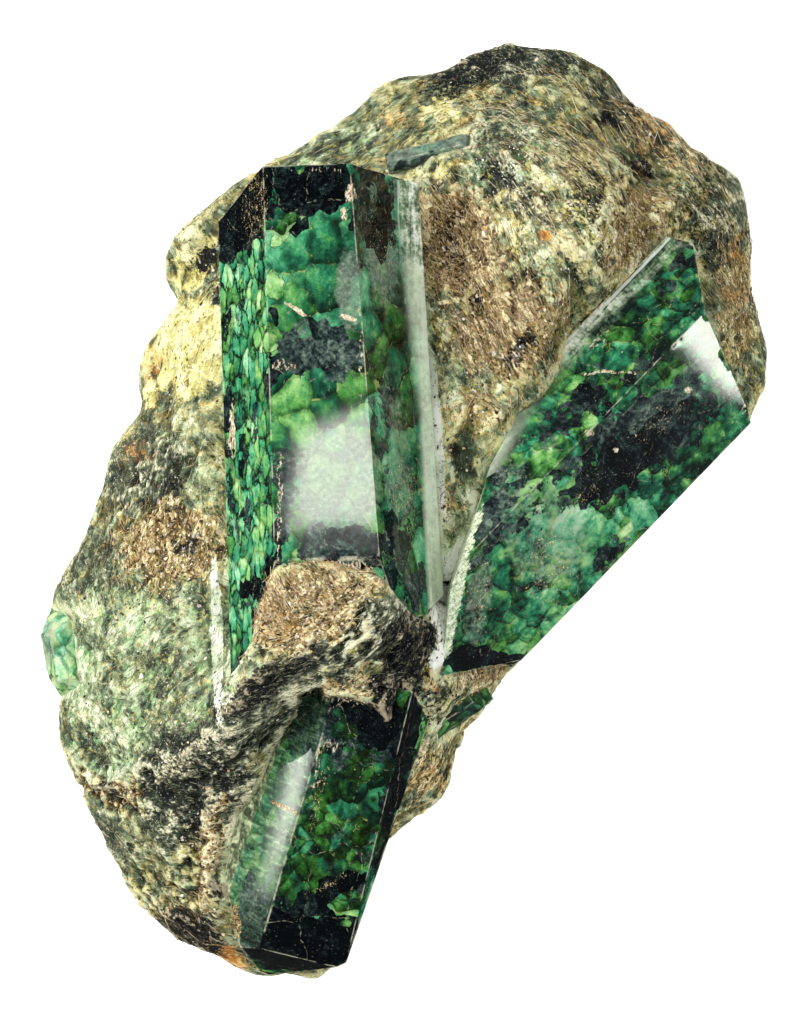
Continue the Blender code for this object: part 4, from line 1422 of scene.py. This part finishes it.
berylColours = {                 # each from shade to light
    "cool green": [
        (0.05, (0.003, 0.009, 0.007)), (0.20, (0.006, 0.034, 0.020)), (0.35, (0.012, 0.10, 0.050)),
        (0.50, (0.028, 0.225, 0.105)), (0.65, (0.09, 0.385, 0.19)), (0.80, (0.23, 0.56, 0.31)),
        (0.95, (0.48, 0.76, 0.48))],
    "warm green": [
        (0.05, (0.004, 0.009, 0.002)), (0.20, (0.010, 0.036, 0.006)), (0.35, (0.024, 0.105, 0.018)),
        (0.50, (0.065, 0.235, 0.050)), (0.65, (0.16, 0.40, 0.11)), (0.80, (0.34, 0.58, 0.22)),
        (0.95, (0.60, 0.78, 0.42))],
    "haze": [
        (0.3, (0.08, 0.115, 0.09)), (0.5, (0.17, 0.22, 0.175)), (0.7, (0.36, 0.42, 0.34))],
    "schist": [
        (0.36, (0.0015, 0.0025, 0.003)), (0.46, (0.008, 0.014, 0.015)), (0.53, (0.026, 0.042, 0.040)),
        (0.60, (0.07, 0.11, 0.09)), (0.70, (0.20, 0.27, 0.21))],
    "blade": [
        (0.36, (0.005, 0.014, 0.009)), (0.48, (0.018, 0.055, 0.028)), (0.57, (0.065, 0.145, 0.075)),
        (0.68, (0.28, 0.40, 0.25))],
    "crumbled": [
        (0.36, (0.010, 0.012, 0.006)), (0.46, (0.075, 0.090, 0.045)), (0.53, (0.21, 0.26, 0.145)),
        (0.62, (0.55, 0.58, 0.38))],
    "mica": [
        (0.38, (0.010, 0.007, 0.004)), (0.49, (0.085, 0.042, 0.011)), (0.58, (0.30, 0.175, 0.045)),
        (0.69, (0.72, 0.58, 0.30))],
    "flecks": [
        (0.36, (0.26, 0.17, 0.09)), (0.48, (0.56, 0.46, 0.30)), (0.6, (0.80, 0.75, 0.60))],
    "glass": [
        (0.26, (0.022, 0.032, 0.026)), (0.38, (0.10, 0.145, 0.095)), (0.50, (0.28, 0.36, 0.23)),
        (0.60, (0.60, 0.66, 0.50)), (0.72, (0.95, 0.97, 0.86))],
    "talc": [
        (0.32, (0.10, 0.14, 0.07)), (0.45, (0.44, 0.54, 0.34)), (0.58, (0.78, 0.86, 0.62)),
        (0.70, (0.96, 0.99, 0.86))],
}


plainColours = {
    "crack": (0.02, 0.05, 0.02),
    "seam": (0.008, 0.014, 0.007),
    "outline": (0.02, 0.025, 0.008),
    "vein": (0.34, 0.38, 0.13),
    "hair crack": (0.30, 0.31, 0.20),
    "paintedHighlight": (0.84, 0.87, 0.80),
    "veil": (0.82, 0.92, 0.68),
    "worn and highlighted edge": (0.50, 0.50, 0.37),
}
berylNoises = {                  # scale, detail, roughness and distortion
    "cloudy": (0.45, 5.0, 0.62),
    "fine": (1.7, 5.0, 0.68),
    "dust": (5.5, 3.0, 0.7),
    "scatter": (0.28, 6.0, 0.72, 0.6),
}
darkGrain, flakeGrain = (1.5, 1.9, 1.5), (0.75, 1.0, 0.75)


# One family of grains: random tone and hue, the place of the seed, and how near the rim is.
def grains(local, size, shift):
    grown = vector("ADD", vector("MULTIPLY", local, tuple(1 / s for s in size)), (shift,) * 3)
    grain = cells(grown, randomness=0.9)
    seed = vector("MULTIPLY", vector("SUBTRACT", grain["Position"], (shift,) * 3), size)
    random = put("SeparateColor", {"Color": grain["Color"]}).outputs
    rimward = cells(grown, randomness=0.9, feature="DISTANCE_TO_EDGE")[0]
    return random[0], random[1], seed, rimward


# Grown-together grains of beryl, seen through a polished face, with dark schist between them.
def berylFinish(node, polished=True):
    material = begin(bpy.data.materials.new(node.replace("_", " ") + " beryl"))
    crystal, inside = crystals[node], insides[node]
    local = put("Attribute", attribute_name="local").outputs["Vector"]
    place = shaken(shaken(local, 0.40, 1.3), 2.0, 0.22)

    def tinted(name, value):
        return ramp(value, berylColours[name])

    # How much of the named patches lies at a place.
    def share(name, where, soft=0.4):
        found = 0.0
        for *shape, amount in inside.get(name, {}).values():
            away = patchDistance(where, crystal, *shape)
            found = number("MAXIMUM", found, step(away, 1 - soft, 1 + soft, amount, 0.0))
        return found

    patchy = step(cloud(local, 0.13, 2.0), 0.46, 0.50, 0.0, inside["mixed"])
    scales = number("MAXIMUM", stored("scales"), patchy)
    large = grains(place, inside["grain"], 0.0)
    small = grains(place, inside["sideGrain"], 5.0)
    tone, hue, rimward = (put("Mix", {0: scales, 2: large[k], 3: small[k]}).outputs[0] for k in (0, 1, 3))
    seed = put("Mix", {0: scales, 4: large[2], 5: small[2]}, data_type="VECTOR").outputs[1]
    darkTone, darkHue, darkSeed, _ = grains(place, darkGrain, 9.0)
    flakeTone, _, _, flakeRim = grains(place, flakeGrain, 13.0)
    cloudy, fine, dust, scatter = (cloud(local, *settings) for settings in berylNoises.values())
    ragged = cloud(vector("MULTIPLY", local, (1.2, 0.5, 1.2)), 2.4, 5.0, 0.75)
    black, navy = share("black", darkSeed), share("navy", darkSeed)
    creamPatches, brownPatches = share("cream", place), share("brown", place)

    # The grains: their light and warmth, with painted shade that makes each grain lighter on one side and
    # darker towards its rim, the ovals that stand out, and the seams between them.
    # Painted light and shade: each grain is lighter on one side, as if lit from one direction.
    lean = put("VectorMath", {0: vector("SUBTRACT", place, seed), 1: (-0.035, 0.05, 0.015)},
               operation="DOT_PRODUCT").outputs["Value"]
    ovals = 9.0
    for *shape, _ in inside.get("oval", {}).values():
        away = plus(patchDistance(place, crystal, *shape), centred(darkTone, 0.25))
        ovals = number("MINIMUM", ovals, away)
    oval = step(ovals, 0.96, 1.04, 1.0, 0.0)
    level = plus(inside["light"], centred(tone, 0.32), centred(cloudy, inside["smear"]), centred(fine, 0.5),
                 centred(flakeTone, 0.12), lean, product(share("bright", seed), 0.32),
                 product(share("deep", seed), -0.24), step(rimward, 0.0, 0.16, -0.08, 0.02),
                 product(oval, 0.14))
    warmth = step(plus(product(hue, 0.6), inside["warm"], centred(cloudy, 1.6)), 0.3, 0.8)
    warmth = number("MAXIMUM", warmth, product(oval, 0.9))
    colour = blend(warmth, tinted("cool green", level), tinted("warm green", level))
    crack = product(step(flakeRim, 0.0, 0.05, 1.0, 0.0), step(fine, 0.47, 0.60))
    colour = blend(product(crack, 0.4), colour, plainColours["crack"])
    gap = number("SUBTRACT", rimward, step(fine, 0.40, 0.62, 0.01, 0.14))
    seam = product(step(gap, 0.0, 0.03, 1.0, 0.0),
                   step(cloudy, 0.42, 0.60, inside["seams"], 0.35 * inside["seams"]))
    colour = blend(product(seam, step(scales, 0.0, 1.0, 0.5, 1.0)), colour, plainColours["seam"])
    outline = step(number("ABSOLUTE", number("SUBTRACT", ovals, 1.03)), 0.0, 0.07, 0.8, 0.0)
    colour = blend(outline, colour, plainColours["outline"])
    vein = product(step(rimward, 0.0, 0.03, 1.0, 0.0), step(cloudy, 0.55, 0.60))
    colour = blend(product(vein, 0.8), colour, plainColours["vein"])

    # Haze over them, which on the central crystal's front also paints the pale veil of the front window's
    # reflection, and dark schist.
    haze = step(plus(share("milk", place), centred(fine, 1.2), centred(cloudy, 1.0)), 0.2, 0.9, 0.0, 0.65)
    colour = blend(haze, colour, tinted("haze", fine))
    darkness = plus(number("MAXIMUM", black, navy), centred(darkTone, 0.6), centred(fine, 0.8),
                    centred(scatter, inside["mixed"] * 2.2), product(oval, -1.0))
    murk = plus(product(cloudy, 0.45), product(fine, 0.55), centred(darkHue, 0.10),
                product(black, -0.125), product(navy, 0.03))
    colour = blend(step(darkness, 0.44, 0.56), colour, tinted("schist", murk))

    # The lower crystal's blade and broken flank.
    bands = vector("MULTIPLY", shaken(local, 0.5, 0.8), (0.25, 1.5, 0.25))
    bands = plus(cloud(bands, 1.0, 5.0, 0.68), centred(fine, 0.5))
    blade = product(stored("blade"), step(darkness, 0.40, 0.55, 0.62, 0.3))
    colour = blend(blade, colour, tinted("blade", bands))
    broken = stored("broken")
    crumbled = plus(product(bands, 0.35), product(fine, 0.4), product(cloudy, 0.25), centred(flakeTone, 0.16))
    colour = blend(product(broken, 0.95), colour, tinted("crumbled", crumbled))

    # Hair cracks, mica and cream flecks on the face.
    hair = cells(vector("MULTIPLY", place, (0.13, 0.10, 0.13)), feature="DISTANCE_TO_EDGE")[0]
    hair = product(step(hair, 0.0, 0.010, 1.0, 0.0), step(fine, 0.47, 0.60))
    colour = blend(product(hair, 0.65), colour, plainColours["hair crack"])
    brown = step(plus(brownPatches, centred(ragged, 2.2), centred(dust, 2.2)), 0.62, 0.76)
    colour = blend(brown, colour, tinted("mica", plus(ragged, centred(dust, 1.3))))
    cream = step(plus(creamPatches, centred(ragged, 3.6)), 0.72, 0.86)
    specks = step(plus(dust, product(black, 0.02)), 0.69, 0.73, 0.0, 0.85)
    cream = number("MAXIMUM", cream, specks)
    colour = blend(cream, colour, tinted("flecks", fine))

    # The rim with painted highlight lines on its clear part, talc along the side, and worn edges that also
    # carry a painted edge highlight.
    streaks = vector("MULTIPLY", shaken(local, 0.3, 0.6), (1.3, 0.07, 1.3))
    lines = vector("MULTIPLY", shaken(local, 0.2, 0.3), (1.9, 0.02, 1.9))
    clear, pale = share("clear rim", place), share("pale rim", place)
    streaks = plus(cloud(streaks, 1.0, 4.0, 0.65), product(clear, -0.11), 0.05, centred(fine, 0.9),
                   centred(cloudy, 1.1), product(pale, 0.12))
    # Painted highlight: thin bright lines along the clear part of the rim.
    paintedHighlight = product(step(cloud(lines, 1.0, 1.0, 0.5), 0.57, 0.63), clear)
    glassy = blend(product(paintedHighlight, 0.85), tinted("glass", streaks), plainColours["paintedHighlight"])
    veiled = blend(0.68, colour, plainColours["veil"])
    glassy = blend(product(step(pale, 0.3, 0.7), 0.75), glassy, veiled)
    colour = blend(product(stored("rim"), 0.92), colour, glassy)
    talc = step(plus(share("talc", place, 0.5), centred(ragged, 2.0)), 0.40, 0.60)
    colour = blend(talc, colour, tinted("talc", plus(ragged, centred(dust, 0.8))))
    # A pale line along the crystal edges: partly wear, partly a painted edge highlight.
    wearAndEdgeHighlight = product(step(stored("edge"), 0.72, 0.95), step(cloudy, 0.43, 0.57))
    wearAndEdgeHighlight = product(wearAndEdgeHighlight, step(dust, 0.38, 0.52, 0.3, 0.8))
    colour = blend(wearAndEdgeHighlight, colour, plainColours["worn and highlighted edge"])

    base = 0.02 if polished else 0.38
    roughness = plus(step(dust, 0.4, 0.75, base, base + 0.03), product(cream, 0.2), product(wearAndEdgeHighlight, 0.3),
                     product(broken, 0.5), product(talc, 0.45))
    finish({"Base Color": colour, "Roughness": roughness, "IOR": 1.58, "Specular IOR Level": inside["gloss"]},
           dust, 0.02, 0.04 if polished else 0.7)
    return material


def addFloor():
    bpy.ops.mesh.primitive_plane_add(size=6.0, location=(0, 0, -0.0002))
    floor = bpy.context.object
    floor.name = "table"
    material = begin(bpy.data.materials.new("white table"))
    colour = ramp(cloud(millimetres(), 0.4), [(0.3, (0.86, 0.86, 0.86)), (0.7, (0.90, 0.90, 0.90))])
    finish({"Base Color": colour, "Roughness": 0.8, "Specular IOR Level": 0.1,
            "Emission Color": (1.0, 1.0, 1.0), "Emission Strength": 0.6})
    floor.data.materials.append(material)
    floor.visible_glossy = False


lamps = {                        # watts, and millimetres
    "key": dict(place=(-560, 170, 600), size=(360, 360), watts=7.6, colour=(1.0, 0.98, 0.94), mirrored=True),
    "front": dict(place=(40, -120, 900), size=(600, 600), watts=2.4),
    "right": dict(place=(620, -160, 560), size=(300, 500), watts=3.0),
    "rear": dict(place=(100, 700, 420), size=(500, 260), watts=0.5),
}


# A rectangular lamp aimed at the specimen, which polished faces show only if it's mirrored.
def addSoftbox(name, place, size, watts, colour=(1, 1, 1), mirrored=False):
    lamp = bpy.data.lights.new(name, "AREA")
    lamp.shape = "RECTANGLE"
    lamp.size, lamp.size_y = size[0] * mm, size[1] * mm
    lamp.energy = watts
    lamp.color = colour
    softbox = addObject(name, lamp)
    softbox.location = Vector(place) * mm
    softbox.rotation_euler = (Vector((0, 0, 25)) - Vector(place)).to_track_quat("-Z", "Y").to_euler()
    softbox.visible_camera = False
    softbox.visible_glossy = softbox.visible_transmission = mirrored


# White cards that only one crystal's polished faces show: the face, a spot on it, and the card's
# corners as it shows there.
reflections = {
    "front window": dict(
        node="central_crystal", roll=0, dip=0, spot=(338, 482, 46), reach=260, radiance=22.0,
        corners=((297, 437), (366, 413), (390, 410), (390, 529), (335, 522), (290, 537))),
    "front sill": dict(
        node="central_crystal", roll=0, dip=0, spot=(338, 482, 46), reach=250, radiance=3.0,
        corners=((292, 540), (335, 524), (390, 530), (390, 556), (300, 560))),
    "corner window": dict(
        node="right_crystal", roll=30, dip=0, spot=(740, 346, 34), reach=260, radiance=20.0,
        corners=((655, 350), (672, 344), (692, 349), (704, 361), (721, 380), (738, 399), (790, 402),
                 (730, 280), (700, 280))),
    "blade window": dict(
        node="lower_crystal", roll=-42, dip=1.8, spot=(300, 792, 37), reach=240, radiance=19.0,
        corners=((316, 680), (334, 682), (303, 812), (271, 898), (267, 898), (287, 800))),
    "rim window": dict(
        node="right_crystal", roll=-10, dip=0, spot=(516, 440, 34), reach=260, radiance=6.0,
        corners=((478, 480), (555, 385), (590, 400), (515, 500))),
    "groove window": dict(
        node="central_crystal", roll=47, dip=0, spot=(402, 230, 37), reach=260, radiance=12.0,
        corners=((398, 165), (404, 165), (412, 325), (406, 325))),
}


# A glowing card, placed where the face would mirror it to the front view at those corners.
def addReflection(name, piece, node, roll, dip, spot, reach, radiance, corners):
    eye = np.array([0, 0, view["eyeHeight"]])
    spot = seenPoint(*spot)
    normal = turnOf(crystals[node]) @ np.array(outward(roll, dip))
    behind = eye - 2 * (eye - spot).dot(normal) * normal
    rays = seenPoint(*np.array(corners, float).T, 0) - eye
    onFace = eye + rays * ((spot - eye).dot(normal) / (rays @ normal))[:, None]
    places = onFace + (onFace - behind) * reach / np.linalg.norm(spot - behind)
    mesh = bpy.data.meshes.new(name)
    mesh.from_pydata((places * mm).tolist(), [], [tuple(range(len(places)))])
    card = addObject(name, mesh)
    mesh.materials.append(begin(bpy.data.materials.new(name)))
    glow = put("Emission", {"Color": (1.0, 1.0, 0.91), "Strength": radiance})
    put("OutputMaterial", {"Surface": glow.outputs[0]})
    card.visible_camera = card.visible_diffuse = card.visible_shadow = False
    shownBy = bpy.data.collections.new("shows the " + name)
    shownBy.objects.link(piece)
    card.light_linking.receiver_collection = shownBy


def addWorld():
    world = begin(bpy.data.worlds.new("studio"))
    bpy.context.scene.world = world
    height = put("SeparateXYZ", {0: put("TexCoord").outputs["Generated"]}).outputs[2]
    colour = ramp(plus(product(height, 0.5), 0.5), [
        (0.40, (0.02, 0.02, 0.02)), (0.50, (0.45, 0.46, 0.48)), (0.62, (0.40, 0.41, 0.42)),
        (0.75, (0.06, 0.063, 0.066)), (1.0, (0.02, 0.021, 0.023))])
    background = put("Background", {"Color": colour, "Strength": 1.0})
    put("OutputWorld", {"Surface": background.outputs[0]})


def addCamera():
    camera = bpy.data.cameras.new("camera")
    camera.lens = view["lens"]
    camera.sensor_width = view["sensor"]
    camera.clip_start = 0.01
    stand = addObject("camera", camera)
    stand.location = (0, 0, view["eyeHeight"] * mm)
    bpy.context.scene.camera = stand


def addStudio():
    addFloor()
    addWorld()
    addCamera()
    for name, facts in lamps.items():
        addSoftbox(name, **facts)
    settings = bpy.context.scene.view_settings
    settings.view_transform = "Standard"
    settings.look = "None"
    print("studio ready")


addStudio()
rockPiece = makeRock()
rockPiece.data.materials.append(schistFinish())
crystalPieces = {node: finishCrystal(node) for node in crystals}
for name, facts in reflections.items():
    addReflection(name, crystalPieces[facts["node"]], **facts)
for name, kind in flakes.items():
    scatterFlakes(rockPiece, name, kind)
